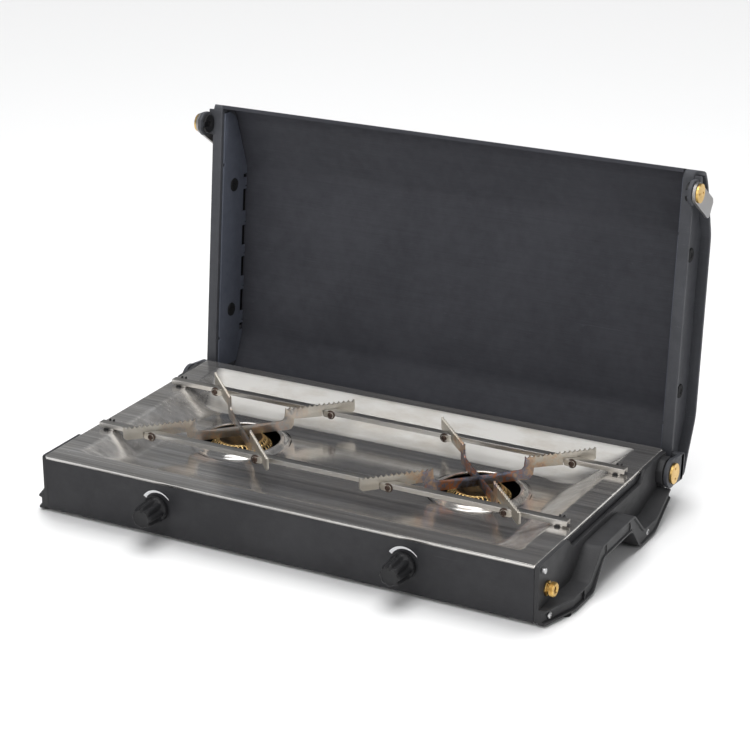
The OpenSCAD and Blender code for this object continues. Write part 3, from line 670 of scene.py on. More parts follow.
@dataclass(frozen=True)
class PanSteel(Sheetmetal):
    """The pan's sheet: mirror-bright where level; on the slopes that lean forwards, and a little on the side
    slopes, a painted reflection of pale, less metallic colour stands in for bright light glancing off them.
    """

    # Pale colour of the painted reflection on the slopes that lean forwards.
    satin: Colour = (0.8, 0.785, 0.75)
    stain: Colour = (0.6, 0.55, 0.48)
    starts: float = 0.03

    def fill(self, s: Sheet, shader: bpy.types.Node) -> None:
        """As the sheet, with broad bands along X, and a painted reflection zone found from the surface's own lean
        and place: pale colour there stands in for reflected light.
        """
        super().fill(s, shader)
        # Painted reflection: the mask below marks forward-leaning slopes behind Y = starts and the side slopes;
        # there the colour turns pale and less metallic to stand in for glare, with stain blots mixed in.
        lean = s.add("SeparateXYZ", {0: s.add("NewGeometry").outputs["Normal"]})
        where = s.add("SeparateXYZ", {0: s.add("TexCoord").outputs["Object"]})
        behind = s.remap(where.outputs["Y"], self.starts, self.starts + 0.004, 0.0, 1.0)
        forward = s.remap(s.math("MULTIPLY", lean.outputs["Y"], -1.0), 0.03, 0.2, 0.0, 1.0)
        left = s.remap(lean.outputs["X"], 0.08, 0.36, 0.0, 0.16)
        right = s.remap(lean.outputs["X"], -0.36, -0.08, 0.1, 0.0)
        sides = s.math("MAXIMUM", left, right)
        painted_reflection_zone = s.math("MAXIMUM", s.math("MULTIPLY", forward, behind), sides)
        bands = s.remap(s.noise(s.place((1.6, 150.0, 150.0)), 1.0, 4.0, 0.75), 0.35, 0.68, 0.66, 1.3)
        base = s.blend(1.0, shader.inputs["Base Color"].links[0].from_socket, bands, "MULTIPLY")
        blots = s.remap(s.noise(s.place((14.0, 26.0, 26.0)), 1.0, 5.0, 0.65), 0.46, 0.7, 0.0, 0.8)
        pale = s.blend(blots, rgba(self.satin), rgba(self.stain))
        s.feed(shader.inputs["Base Color"], s.blend(painted_reflection_zone, base, pale))
        s.feed(shader.inputs["Metallic"], s.math("MULTIPLY_ADD", painted_reflection_zone, -0.78, 0.9))
        rough = s.math("MULTIPLY_ADD", bands, 0.06, shader.inputs["Roughness"].links[0].from_socket)
        s.feed(shader.inputs["Roughness"], s.math("MULTIPLY_ADD", painted_reflection_zone, 0.3, rough))


@dataclass(frozen=True)
class Turned(Finish):
    """Turned metal, such as brass: faint rings, darker in patches."""

    stain: Colour = (0.3, 0.18, 0.06)
    stained: float = 0.4

    def fill(self, s: Sheet, shader: bpy.types.Node) -> None:
        """Patches of stain change colour and roughness; fine noise stands for tool marks."""
        patch = self.effect(s, "handling", Scale=60.0).outputs[0]
        grain = self.effect(s, "grain", Scale=2600.0).outputs[0]
        tone = s.blend(s.math("MULTIPLY", patch, self.stained), rgba(self.colour), rgba(self.stain))
        s.feed(shader.inputs["Base Color"], tone)
        shader.inputs["Metallic"].default_value = 1.0
        s.feed(shader.inputs["Roughness"], s.math("MULTIPLY_ADD", patch, 0.18, self.roughness))
        self.raise_by(s, shader, grain, 0.25, 0.00003)


BURNER_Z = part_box("burner_ring_left")[1].z
BURNER_Y = (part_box("burner_ring_left")[0].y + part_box("burner_ring_left")[1].y) / 2
BURNER_X = (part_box("burner_ring_right")[0].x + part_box("burner_ring_right")[1].x) / 2
CENTRES = ((-BURNER_X, BURNER_Y, BURNER_Z), (BURNER_X, BURNER_Y, BURNER_Z))

CASE_PAINT = Coating("case_paint", (0.0285, 0.0285, 0.031), 0.42, 1500.0, 0.000016, 0.2)
LID_PAINT = Coating("lid_paint", (0.0365, 0.0375, 0.045), 0.5, 1300.0, 0.00002, 0.2, lines=0.14)
FRAME_PLASTIC = Coating("frame_plastic", (0.033, 0.033, 0.0345), 0.46, 1100.0, 0.00003, 0.2)
LID_SIDE_PLASTIC = Coating("lid_side_plastic", (0.056, 0.058, 0.065), 0.48, 1200.0, 0.00003, 0.2)
LINER_PLASTIC = Coating("liner_plastic", (0.08, 0.088, 0.112), 0.52, 1300.0, 0.00003, 0.2)
BLACK_PLASTIC = Coating("black_plastic", (0.009, 0.009, 0.01), 0.48, 1700.0, 0.00003, 0.3)
# Painted shade: near-black finish for the strip behind the liner tabs, standing in for the shade in the gaps
# between them.
PAINTED_GAP_SHADE = Coating("gap_black", (0.003, 0.003, 0.003), 0.8, 900.0, sheen=0.05)
RUBBER = Coating("rubber", (0.008, 0.008, 0.009), 0.7, 900.0, 0.0001, 0.25)
MARK_PRINT = Coating("mark_print", (0.75, 0.75, 0.76), 0.5, 2500.0, 0.00001)
PAN_STEEL = PanSteel("pan_steel", (0.74, 0.73, 0.72), 0.07, CENTRES, 0.05, (0.1, 0.2), 0.16, 0.0000012)
RAIL_STEEL = Sheetmetal("rail_steel", (0.72, 0.71, 0.69), 0.33, CENTRES, 0.05, (0.1, 0.3))
ARM_STEEL = Sheetmetal("arm_steel", (0.64, 0.61, 0.55), 0.42, CENTRES, 0.085, (0.3, 0.9))
LEVER_STEEL = Sheetmetal("lever_steel", (0.34, 0.34, 0.35), 0.42)
PLATED_STEEL = Turned("plated_steel", (0.6, 0.6, 0.6), 0.25, stain=(0.3, 0.3, 0.3))
RIVET_STEEL = Turned("rivet_steel", (0.12, 0.085, 0.07), 0.4, stain=(0.05, 0.035, 0.03), stained=0.7)
PLAIN_STEEL = Turned("plain_steel", (0.5, 0.5, 0.5), 0.4, stain=(0.3, 0.28, 0.26))
SCORCHED = Turned("scorched_steel", (0.06, 0.05, 0.034), 0.5, stain=(0.3, 0.18, 0.08), stained=0.6)
CAP_BRASS = Turned("cap_brass", (0.72, 0.48, 0.16), 0.27, stain=(0.45, 0.28, 0.1))
BURNER_BRASS = Turned("burner_brass", (0.85, 0.6, 0.26), 0.3, stain=(0.4, 0.24, 0.1), stained=0.4)
CAST_ALLOY = Turned("cast_alloy", (0.3, 0.3, 0.3), 0.5, stain=(0.2, 0.19, 0.18))


# ---------------------------------------------------------------- measures taken from the frame


def low(node: str) -> np.ndarray:
    """Lowest corner of a CAD node, in millimetres."""
    return np.array(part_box(node)[0]) / MM


def high(node: str) -> np.ndarray:
    """Highest corner of a CAD node, in millimetres."""
    return np.array(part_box(node)[1]) / MM


def joint_place(name: str) -> np.ndarray:
    """A point on a joint's axis, in millimetres."""
    found = next(j for j in frame["record"]["behaviour"]["joints"] if j["name"] == name)
    return np.array(found["pos_m"]) / MM


FRONT_Y = low("base_tray")[1]
REAR_Y = high("base_tray")[1]
HALF_W = high("base_tray")[0]
RIM_Z = high("drip_pan")[2]
HINGE = joint_place("lid_hinge")
LATCH = joint_place("latch_turn_right")
RIVET_Z = (low("arm_rivets")[2] + high("arm_rivets")[2]) / 2


@dataclass
class LidAxes:
    """Places for the open lid: u runs from the hinge to the free edge, w from the rim to the dome."""

    opened: float = 96.0
    rim: float = RIM_Z + 1.5 - HINGE[2]

    def turn(self) -> np.ndarray:
        """Matrix that opens a shape drawn with the lid closed."""
        a = math.radians(-self.opened)
        return np.array([[1, 0, 0], [0, math.cos(a), -math.sin(a)], [0, math.sin(a), math.cos(a)]])

    def open(self, shape: Shape) -> Shape:
        """Opens a shape whose points are x, -u and w."""
        return shape.moved(z=self.rim).turned(self.turn()).moved(y=HINGE[1], z=HINGE[2])


LID = LidAxes()


# ---------------------------------------------------------------- sub-assemblies


@dataclass
class Case:
    """The painted sheet case under the pan."""

    edge: float = 0.5

    def build(self) -> None:
        """Rounds the case's edges and dresses it."""
        refine("base_tray", CASE_PAINT.material(), self.edge)


@dataclass
class SideFrame:
    """A moulded side wall with its feet, raised grip and hinge boss."""

    side: Side
    wall: float = 4.5
    top: float = 0.5
    recess: float = 11.0
    groove: float = 2.2
    octagon: float = 15.0
    boss: float = 7.5
    x_in: float = HALF_W + 0.05
    tops: tuple = (
        (0, 16), (38, 16), (66.5, 16), (93, 40), (167, 40), (191.5, 16), (219, 16), (262, 28)
    )
    bases: tuple = ((0, 2), (40, 2), (78, 2), (98.5, 26), (161.5, 26), (182, 2), (216, 2), (262, 17))

    def outer(self, y: np.ndarray) -> np.ndarray:
        """Reach of the rail's outer face in X: it swells behind the front corner and narrows at the tail."""
        x = HALF_W + self.wall
        return np.interp(y, [0, 38, 222, 262], [x + 6, x + 17.5, x + 17.5, x + 13.5])

    def wall_shape(self) -> Shape:
        """Flat wall with a recess along its top edge, and openings that follow the rail."""
        top, sunk, deep = RIM_Z - self.top, RIM_Z - self.recess, REAR_Y - FRONT_Y
        corners = [(0, 2), (78, 2), (98.5, 26), (161.5, 26), (182, 2), (216, 2), (262, 17), (deep - 3, 24),
                   (deep, 30), (deep, top - 3), (deep - 3, top), (deep - 50, top), (deep - 60, sunk),
                   (70, sunk), (60, top), (0, top)]
        outline = softened(anticlockwise(corners), 3.0)
        return plate(outline, self.x_in, HALF_W + self.wall, 0.6, Plane.X).moved(y=FRONT_Y)

    def rail_shape(self) -> Shape:
        """Rail: at each station a rounded band runs from its top line to its base line.

        The band's section goes out along the top, down the outer face, which is sunk by the
        groove between its two ribs, and back in along the base.
        """
        tops = softened(np.array(self.tops, float), 4.0, 4, closed=False)
        bases = softened(np.array(self.bases, float), 4.0, 4, closed=False)
        reach = self.outer((tops[:, 0] + bases[:, 0]) / 2)
        height = np.linalg.norm(tops - bases, axis=1)
        sunk = np.interp(tops[:, 0], [0, 60, 90, 262], self.groove * np.array([1.3, 1.2, 0.6, 0.7]))
        inner = np.full_like(reach, HALF_W + self.wall - 0.4)
        start, end = np.zeros_like(height), np.ones_like(height)
        rows = [(inner, start), (reach - 0.8, start), (reach - 0.2, 0.2 / height),
                (reach, 0.8 / height), (reach, 2.0 / height), (reach - 0.3, 2.3 / height),
                (reach - sunk, 2.9 / height), (reach - sunk, 1 - 3.1 / height),
                (reach - 0.3, 1 - 2.5 / height), (reach, 1 - 2.2 / height), (reach, 1 - 0.8 / height),
                (reach - 0.25, 1 - 0.2 / height), (reach - 0.9, end), (inner, end)]
        x = np.stack([r[0] for r in rows], 1)
        t = np.stack([r[1] for r in rows], 1)[..., None]
        flat = tops[:, None] * (1 - t) + bases[:, None] * t
        sections = np.concatenate([x[..., None], flat], -1)
        return loft(sections).moved(y=FRONT_Y)

    def boss_shape(self) -> Shape:
        """Eight-sided hinge boss with a round shoulder in front of it."""
        x0, x1 = HALF_W + self.wall, HALF_W + self.wall + self.boss
        outline = softened(regular(8, self.octagon, 22.5), 1.2, 3)
        boss = plate(outline, x0 - 0.5, x1 - 1.0, 0.8, Plane.X)
        profile = [(11.6, x1 - 1.5), (11.6, x1 - 0.3), (11.2, x1), (4.0, x1), (4.0, x1 - 1.5)]
        return (boss + lathe(profile, Plane.X)).moved(y=HINGE[1], z=HINGE[2])

    def seam_shape(self) -> Shape:
        """Raised ribs at both ends of the grip's outer face, and one behind the front foot."""
        ribs = []
        for y, z0, z1 in ((58.0, 3.2, 14.6), (104.0, 29.0, 37.0), (157.0, 29.0, 37.0)):
            reach, mid = float(self.outer(np.array([y]))[0]), (z0 + z1) / 2
            line = [(y - 0.7, z0), (y + 0.7, z0), (y + 2.2, mid), (y + 0.7, z1), (y - 0.7, z1), (y + 0.8, mid)]
            outline = softened(anticlockwise(line), 0.4, 2)
            ribs.append(plate(outline, reach - 2.5, reach - 0.35, 0.2, Plane.X, 2))
        return joined(ribs).moved(y=FRONT_Y)

    def build(self) -> None:
        """Builds the wall, rail, boss and ribs, and stands them for the CAD side frame."""
        node = "side_frame_" + self.side.word
        parts = {"wall": self.wall_shape(), "rail": self.rail_shape(), "boss": self.boss_shape(),
                 "ribs": self.seam_shape()}
        for part, shape in parts.items():
            replaced = [node] if part == "wall" else []
            add_piece(f"{node}_{part}", shape.mirrored(self.side), FRAME_PLASTIC.material(), node, replaced)


@dataclass
class Fasteners:
    """Screws, catch studs and foot pads of the side frames."""

    screw_r: float = 3.2
    screw_z: float = 9.0
    spots: tuple = (9.0, 202.0)

    def screw(self, x: float, y: float) -> Shape:
        """Pan-headed screw with a round socket sunk in its head."""
        r = self.screw_r
        profile = [(0.0, x - 3.0), (1.5, x - 3.0), (1.5, x - 1.2), (r, x - 1.2), (r, x - 0.5),
                   (r * 0.8, x + 0.1), (1.6, x + 0.3), (1.5, x - 0.6), (0.0, x - 0.6)]
        return lathe(profile, Plane.X, 32).moved(y=y, z=self.screw_z)

    def build(self) -> None:
        """Builds the screws and refines the studs and pads."""
        reach = SideFrame(Side.RIGHT).outer(np.array(self.spots)) - 1.2
        screws = joined(self.screw(x, FRONT_Y + y) for x, y in zip(reach.tolist(), self.spots))
        add_piece("frame_screw_set", screws.pair(), PLATED_STEEL.material(), "frame_screws", ["frame_screws"])
        refine("catch_studs", PLATED_STEEL.material(), 0.3)
        refine("foot_pads", RUBBER.material(), 0.4)


@dataclass
class DripPan:
    """Deep-drawn stainless pan with two raised burner rings."""

    rim_side: float = 22.0
    rim_front: float = 22.0
    rim_rear: float = 14.0
    slope_side: float = 34.0
    slope_front: float = 14.0
    slope_rear: float = 62.0
    depth: float = 16.0
    lip: float = 3.0
    hole: float = 38.0
    collar: float = 48.5
    sheet: float = 0.7
    corner_spans: int = 10
    round_spans: int = 72

    def loop(self, grow: Sequence[float], radius: float, z: float) -> np.ndarray:
        """Rounded rectangle inside the pan's outer edge.

        Args:
            grow: Inward distances at the sides, the front and the rear.
            radius: Radius of its corners.
            z: Its height.

        Returns:
            Points of the loop, anticlockwise.
        """
        side, front, rear = grow
        lo, hi = low("drip_pan"), high("drip_pan")
        x0, x1, y0, y1 = lo[0] + side, hi[0] - side, lo[1] + front, hi[1] - rear
        middles = (((x1 - radius, y0 + radius), -90), ((x1 - radius, y1 - radius), 0),
                   ((x0 + radius, y1 - radius), 90), ((x0 + radius, y0 + radius), 180))
        flat = np.vstack([arc(c, radius, a, a + 90, self.corner_spans) for c, a in middles])
        return Plane.Z.place(flat, np.full(len(flat), z))

    def body_loops(self) -> np.ndarray:
        """Loops from the lip's lower edge over the rim and down the slopes to the floor."""
        rim = np.array([self.rim_side, self.rim_front, self.rim_rear]) + 0.9
        floor = rim + [self.slope_side, self.slope_front, self.slope_rear]
        edge = RIM_Z - self.lip
        loops = [self.loop((0, 0, 0), 2.5, edge), self.loop((0, 0, 0), 2.5, RIM_Z - 0.8),
                 self.loop((0.2, 0.2, 0.2), 2.4, RIM_Z - 0.25), self.loop((0.8, 0.8, 0.8), 2.2, RIM_Z),
                 self.loop(rim - 1.6, 7.0, RIM_Z), self.loop(rim - 0.6, 6.0, RIM_Z - 0.12)]
        for t in (0.04, 0.1, 0.3, 0.55, 0.8, 0.93):
            grow = rim + (floor - rim) * t
            loops.append(self.loop(grow, 6.0 + 26.0 * t, RIM_Z - self.depth * t * (0.985 + 0.015 * t)))
        loops.append(self.loop(floor + 1.2, 32.0, RIM_Z - self.depth + 0.12))
        loops.append(self.loop(floor + 3.0, 32.0, RIM_Z - self.depth))
        loops.append(self.loop(floor + 4.5, 31.0, RIM_Z - self.depth))
        return np.stack(loops)

    def floor_shape(self, border: np.ndarray) -> Shape:
        """Flat floor between the lowest loop and the two collars, cut into triangles."""
        z = RIM_Z - self.depth
        rings = [arc((c[0] / MM, c[1] / MM), self.collar, 0, 360, self.round_spans)[:-1] for c in CENTRES]
        flat = [border[:, :2], *rings]
        edges, start = [], 0
        for line in flat:
            count = len(line)
            edges += [(start + i, start + (i + 1) % count) for i in range(count)]
            start += count
        points = np.vstack(flat)
        found = delaunay_2d_cdt([Vector(p) for p in points.tolist()], edges, [], 1, 1e-5)
        corners = np.array([tuple(v) for v in found[0]])
        triangles = np.array(found[2])
        middle = corners[triangles].mean(1)
        spans = [np.hypot(middle[:, 0] - c[0] / MM, middle[:, 1] - c[1] / MM) for c in CENTRES]
        away = np.min(spans, axis=0)
        kept = triangles[away > self.collar * 0.98]
        points = Plane.Z.place(corners, np.full(len(corners), z))
        return Shape(points, [tuple(t) for t in kept.tolist()])

    def collar_shape(self, centre: Sequence[float]) -> Shape:
        """Raised ring round a burner hole, with rolled inner and outer feet."""
        z = RIM_Z - self.depth
        profile = [(self.collar, z), (45.6, z), (44.8, z + 0.25), (43.9, z + 1.1), (42.9, z + 2.4),
                   (41.7, z + 3.4), (40.4, z + 3.9), (39.3, z + 4.0), (38.5, z + 3.75),
                   (self.hole, z + 3.1), (self.hole, z + 1.6)]
        ring = lathe(profile, Plane.Z, self.round_spans).walls()
        return ring.moved(x=centre[0] / MM, y=centre[1] / MM)

    def build(self) -> None:
        """Builds the pan as one sheet and gives it its thickness."""
        loops = self.body_loops()
        collars = [self.collar_shape(centre) for centre in CENTRES]
        shape = joined([loft(loops, caps=False), self.floor_shape(loops[-1]), *collars])
        pan = add_piece("drip_pan_sheet", shape, PAN_STEEL.material(), "drip_pan", ["drip_pan"], 40.0)
        self.face_up(pan)
        wall = pan.modifiers.new("sheet", "SOLIDIFY")
        wall.thickness = self.sheet * MM
        wall.offset = -1.0

    @staticmethod
    def face_up(pan: bpy.types.Object) -> None:
        """Turns the open sheet's faces so that the floor faces upwards, and shades level faces flat."""
        faces = pan.data.polygons
        normals, areas = np.empty(len(faces) * 3), np.empty(len(faces))
        faces.foreach_get("normal", normals)
        faces.foreach_get("area", areas)
        upward = normals.reshape(-1, 3)[:, 2]
        faces.foreach_set("use_smooth", np.abs(upward) < 0.99999)
        if float(np.sum(upward * areas)) < 0:
            pan.data.flip_normals()


@dataclass
class Burner:
    """A perforated brass ring over a bowl, closed by a sunken cone."""

    side: Side
    outer: float = 30.0
    inner: float = 22.0
    height: float = 9.0
    rows: int = 2
    around: int = 36
    port: float = 0.35
    sheet: float = 0.6

    def ring_shape(self) -> Shape:
        """Sloped band cut into cells: each cell is a square frame of eight points round a round port.

        Cell point (a, b) goes to angle (column + a) of the round and b of the slope, whose radius
        falls from the outer to the inner one as its height rises.
        """
        rim = around(np.arange(8) * math.pi / 4 + math.pi / 4)
        square = rim / np.max(np.abs(rim), axis=1, keepdims=True) * 0.5
        cell = np.stack([square, rim * self.port]) + 0.5
        column, row = np.meshgrid(np.arange(self.around), np.arange(self.rows))
        shift = np.where(row % 2 == 1, 0.5, 0.0)
        a = (column + shift)[..., None, None] + cell[..., 0]
        b = (row[..., None, None] + cell[..., 1]) / self.rows
        turn = a / self.around * 2 * math.pi
        radius = self.outer + (self.inner - self.outer) * b
        base_z = low("burner_ring_left")[2]
        height = base_z + 1.0 + (self.height - 1.0) * b
        points = np.stack([radius * np.cos(turn), radius * np.sin(turn), height], -1)
        cells = self.around * self.rows
        start = np.arange(cells)[:, None, None] * 16
        k = np.arange(8)
        quad = np.stack([k, (k + 1) % 8, (k + 1) % 8 + 8, k + 8], 1)[None]
        faces = [tuple(f) for f in (start + quad).reshape(-1, 4).tolist()]
        return Shape(points.reshape(-1, 3), faces)

    def rims(self) -> Shape:
        """Rolled beads along the band's lower and upper edges."""
        z0, z1 = low("burner_ring_left")[2], high("burner_ring_left")[2]
        r0, r1 = self.outer, self.inner
        lower = [(r0 - 1.4, z0), (r0, z0), (r0, z0 + 1.0), (r0 - 0.6, z0 + 1.3), (r0 - 1.4, z0 + 1.0),
                 (r0 - 1.4, z0)]
        upper = [(r1 - 1.3, z1 - 1.0), (r1 + 0.1, z1 - 0.9), (r1 + 0.1, z1 - 0.3), (r1 - 0.5, z1),
                 (r1 - 1.3, z1 - 0.3), (r1 - 1.3, z1 - 1.0)]
        return joined(lathe(profile, Plane.Z, 64).walls() for profile in (lower, upper))

    def cone_shape(self) -> Shape:
        """Sunken cone: a dished funnel with a small domed cap at its bottom."""
        z0, z1 = low("burner_cone_left")[2], high("burner_cone_left")[2]
        top = self.inner - 1.6
        profile = [(0.0, z0 + 2.6), (2.2, z0 + 2.3), (3.6, z0 + 1.4), (5.0, z0 + 1.3), (8.0, z0 + 2.4),
                   (13.0, z0 + 4.9), (top - 1.2, z1 - 0.5), (top - 0.4, z1), (top, z1), (top, z1 - 1.4),
                   (13.0, z0 + 3.6), (6.5, z0), (0.0, z0)]
        return lathe(profile, Plane.Z, 64)

    def build(self) -> None:
        """Builds the ring, its rims and the cone, and dresses the bowl and its parts."""
        word, x, y = self.side.word, self.side.value * BURNER_X / MM, BURNER_Y / MM
        node = "burner_ring_" + word
        brass = BURNER_BRASS.material()
        band = add_piece(node + "_band", self.ring_shape().moved(x=x, y=y), brass, node, [node], 60.0)
        wall = band.modifiers.new("sheet", "SOLIDIFY")
        wall.thickness = self.sheet * MM
        add_piece(node + "_rims", self.rims().moved(x=x, y=y), brass, node)
        cone = "burner_cone_" + word
        add_piece(cone + "_dish", self.cone_shape().moved(x=x, y=y), SCORCHED.material(), cone, [cone], 50.0)
        dress("burner_bowl_" + word, CAST_ALLOY.material())
        for part in ("mixing_tube_", "burner_bracket_", "valve_spindle_"):
            dress(part + word, PLAIN_STEEL.material())
        for part in ("valve_body_", "jet_"):
            dress(part + word, CAP_BRASS.material())


@dataclass
class PotSupport:
    """Two cross rails that carry crossed pairs of toothed arms, riveted together."""

    length: float = 228.0
    blade: float = 69.0
    thick: float = 2.0
    top: float = 13.5
    blade_h: float = 13.3
    neck_h: float = 9.6
    pitch: float = 4.9
    tooth: float = 2.3
    offset: float = 63.5
    spread: float = 61.5
    rail_w: float = 8.0
    rail_h: float = 6.5
    rail_bar: float = 4.6
    rail_len: float = 488.0
    shift: float = 4.0

    def tooth_line(self, tip: float, root: float) -> np.ndarray:
        """Upper edge of a blade: top minus depth times |sin| of the distance, so tips are sharp."""
        count = int((tip - root) / self.pitch)
        s = np.linspace(0.0, count, count * 6 + 1)
        drop = self.tooth * np.abs(np.sin(math.pi * s))
        return np.stack([tip - 1.0 - s * self.pitch, RIM_Z + self.top - drop], 1)

    def half_outline(self, slot_up: bool) -> np.ndarray:
        """Half of an arm, from centre to tip: neck, dropped root, notch over the rail, toothed blade."""
        tip, root = self.length / 2, self.length / 2 - self.blade
        base = RIM_Z + self.top - self.blade_h
        neck = base - self.neck_h
        slant = math.sin(math.atan2(self.offset, self.spread))
        cross, wide = self.offset / slant, self.rail_w / 2 / slant + 1.3
        notch = RIM_Z + self.rail_h + 0.15
        slot = self.thick / 2 + 0.15
        middle = (base + neck) / 2
        lower = [(slot, middle), (slot, neck)] if not slot_up else [(0.0, neck)]
        lower += [(root - 4, neck), (root + 1, neck - 0.6), (root + 5, neck + 0.6),
                  (root + 7.2, neck + 4), (root + 8, base + 1.0)]
        lower += [(cross - wide, base), (cross - wide, notch), (cross + wide, notch), (cross + wide, base),
                  (tip - 3, base), (tip, base + 2.5), (tip, RIM_Z + self.top - 0.6)]
        edge = self.tooth_line(tip, root)
        upper = [(root - 0.6, RIM_Z + self.top - self.tooth), (root - 1.4, base + 3),
                 (root - 3.5, base + 0.5), (root - 7, base)]
        upper += [(slot, base), (slot, middle)] if slot_up else [(0.0, base)]
        return np.vstack([np.array(lower), edge, np.array(upper)])

    def arm_shape(self, side: Side, lean: int) -> Shape:
        """Arm plate, turned and stood over its burner; lean -1 goes from front left to rear right."""
        half = self.half_outline(slot_up=lean > 0)
        outline = np.vstack([half, half[::-1] * FLIP])
        keep = np.linalg.norm(outline - np.roll(outline, 1, 0), axis=1) > 0.05
        arm = plate(outline[keep], -self.thick / 2, self.thick / 2, 0.22, Plane.Y, 2)
        angle = math.atan2(self.offset, self.spread)
        a = angle if lean < 0 else math.pi - angle
        turn = np.array([[math.cos(a), -math.sin(a), 0], [math.sin(a), math.cos(a), 0], [0, 0, 1]])
        return arm.turned(turn).moved(x=side.value * BURNER_X / MM, y=BURNER_Y / MM)

    def rivet_shapes(self) -> Shape:
        """Domed rivet heads on washers, on the front face of each rail."""
        profile = [(0.0, 0.3), (1.2, 0.4), (1.6, 1.1), (2.3, 0.9), (2.7, 0.3), (2.8, -0.3), (3.6, -0.35),
                   (4.3, -0.6), (4.5, -1.0), (4.5, -1.5), (0.0, -1.5)]
        head = lathe([(r, -h) for r, h in profile], Plane.Y, 32)
        made = []
        for side, lean, row in product(Side, (-1, 1), (-1, 1)):
            x = side.value * BURNER_X / MM + lean * (self.spread + row * self.shift)
            y = BURNER_Y / MM + row * self.offset - self.rail_w / 2 - 1.6
            made.append(head.moved(x=x, y=y, z=RIVET_Z))
        return joined(made)

    def tab_shapes(self, side: Side, lean: int) -> Shape:
        """Bent feet that join an arm to the front face of each rail."""
        made = []
        for row in (-1, 1):
            way = row * -lean
            inner = (self.offset - row * self.rail_w / 2) * self.spread / self.offset
            outer = self.spread + row * (self.shift + 3.2)
            y = BURNER_Y / MM + row * self.offset - self.rail_w / 2
            middle = side.value * BURNER_X / MM
            x0, x1 = sorted((middle + way * inner, middle + way * outer))
            box = rectangle(x0, x1, RIVET_Z - 3.0, RIVET_Z + 3.0)
            made.append(plate(softened(box, 2.6, 4), y - 1.4, y - 0.02, 0.25, Plane.Y, 2))
        return joined(made)

    def build(self) -> None:
        """Builds the four arms, the rivets and the rails."""
        steel = ARM_STEEL.material()
        for side, (lean, letter) in product(Side, ((-1, "a"), (1, "b"))):
            node = f"pot_arm_{side.word}_{letter}"
            add_piece(node + "_blade", self.arm_shape(side, lean), steel, node, [node], 24.0)
            add_piece(node + "_feet", self.tab_shapes(side, lean), steel, node)
        add_piece("arm_rivet_heads", self.rivet_shapes(), RIVET_STEEL.material(), "arm_rivets", ["arm_rivets"])
        for row, name in ((-1, "front_rail"), (1, "rear_rail")):
            add_piece(name + "_bar", self.rail_shape(row), RAIL_STEEL.material(), name, [name])
        add_piece("rail_clip_set", self.clip_shapes(), BLACK_PLASTIC.material(), "rail_clips", ["rail_clips"])

    def rail_shape(self, row: int) -> Shape:
        """Rail: an inverted trough drawn out along X, with a foot at each end that stands on the rim."""
        w, t, h = self.rail_w / 2, 1.4, self.rail_bar
        top = RIM_Z + self.rail_h
        trough = [(-w, top - h), (-w + t, top - h), (-w + t, top - t), (w - t, top - t), (w - t, top - h),
                  (w, top - h), (w, top), (-w, top)]
        reach = np.array([0.3, 0.3, 0.5, 0.5, 0.3, 0.3, 0.45, 0.45])
        half = self.rail_len / 2
        bar = plate(softened(anticlockwise(trough), reach, 3), -half, half, 0.15, Plane.X, 1)
        foot = softened(rectangle(-w + 0.1, w - 0.1, RIM_Z + 0.02, top - 1.0), 0.6, 2)
        end = plate(foot, half - 16.0, half - 4.0, 0.3, Plane.X, 2)
        return (bar + end + end.mirrored(Side.LEFT)).moved(y=BURNER_Y / MM + row * self.offset)

    def clip_shapes(self) -> Shape:
        """Small clips: behind each rail end two posts and a bar between them, before it a low stop."""
        x_mid, side_y = high("rail_clips")[0] - 3.0, self.rail_w / 2
        parts = ((-2.6, 2.6, 3.6, side_y + 0.4, side_y + 2.4), (-2.8, -1.4, 7.6, side_y + 0.35, side_y + 2.6),
                 (1.4, 2.8, 7.6, side_y + 0.35, side_y + 2.6), (-2.4, 2.4, 1.6, -side_y - 2.0, -side_y - 0.4))
        made = []
        for side, row, (x0, x1, rise, y0, y1) in product(Side, (-1, 1), parts):
            box = softened(rectangle(x0, x1, RIM_Z + 0.05, RIM_Z + rise), 0.4, 2)
            post = plate(box, y0, y1, 0.2, Plane.Y, 2)
            made.append(post.moved(x=x_mid, y=BURNER_Y / MM + row * self.offset).mirrored(side))
        return joined(made)


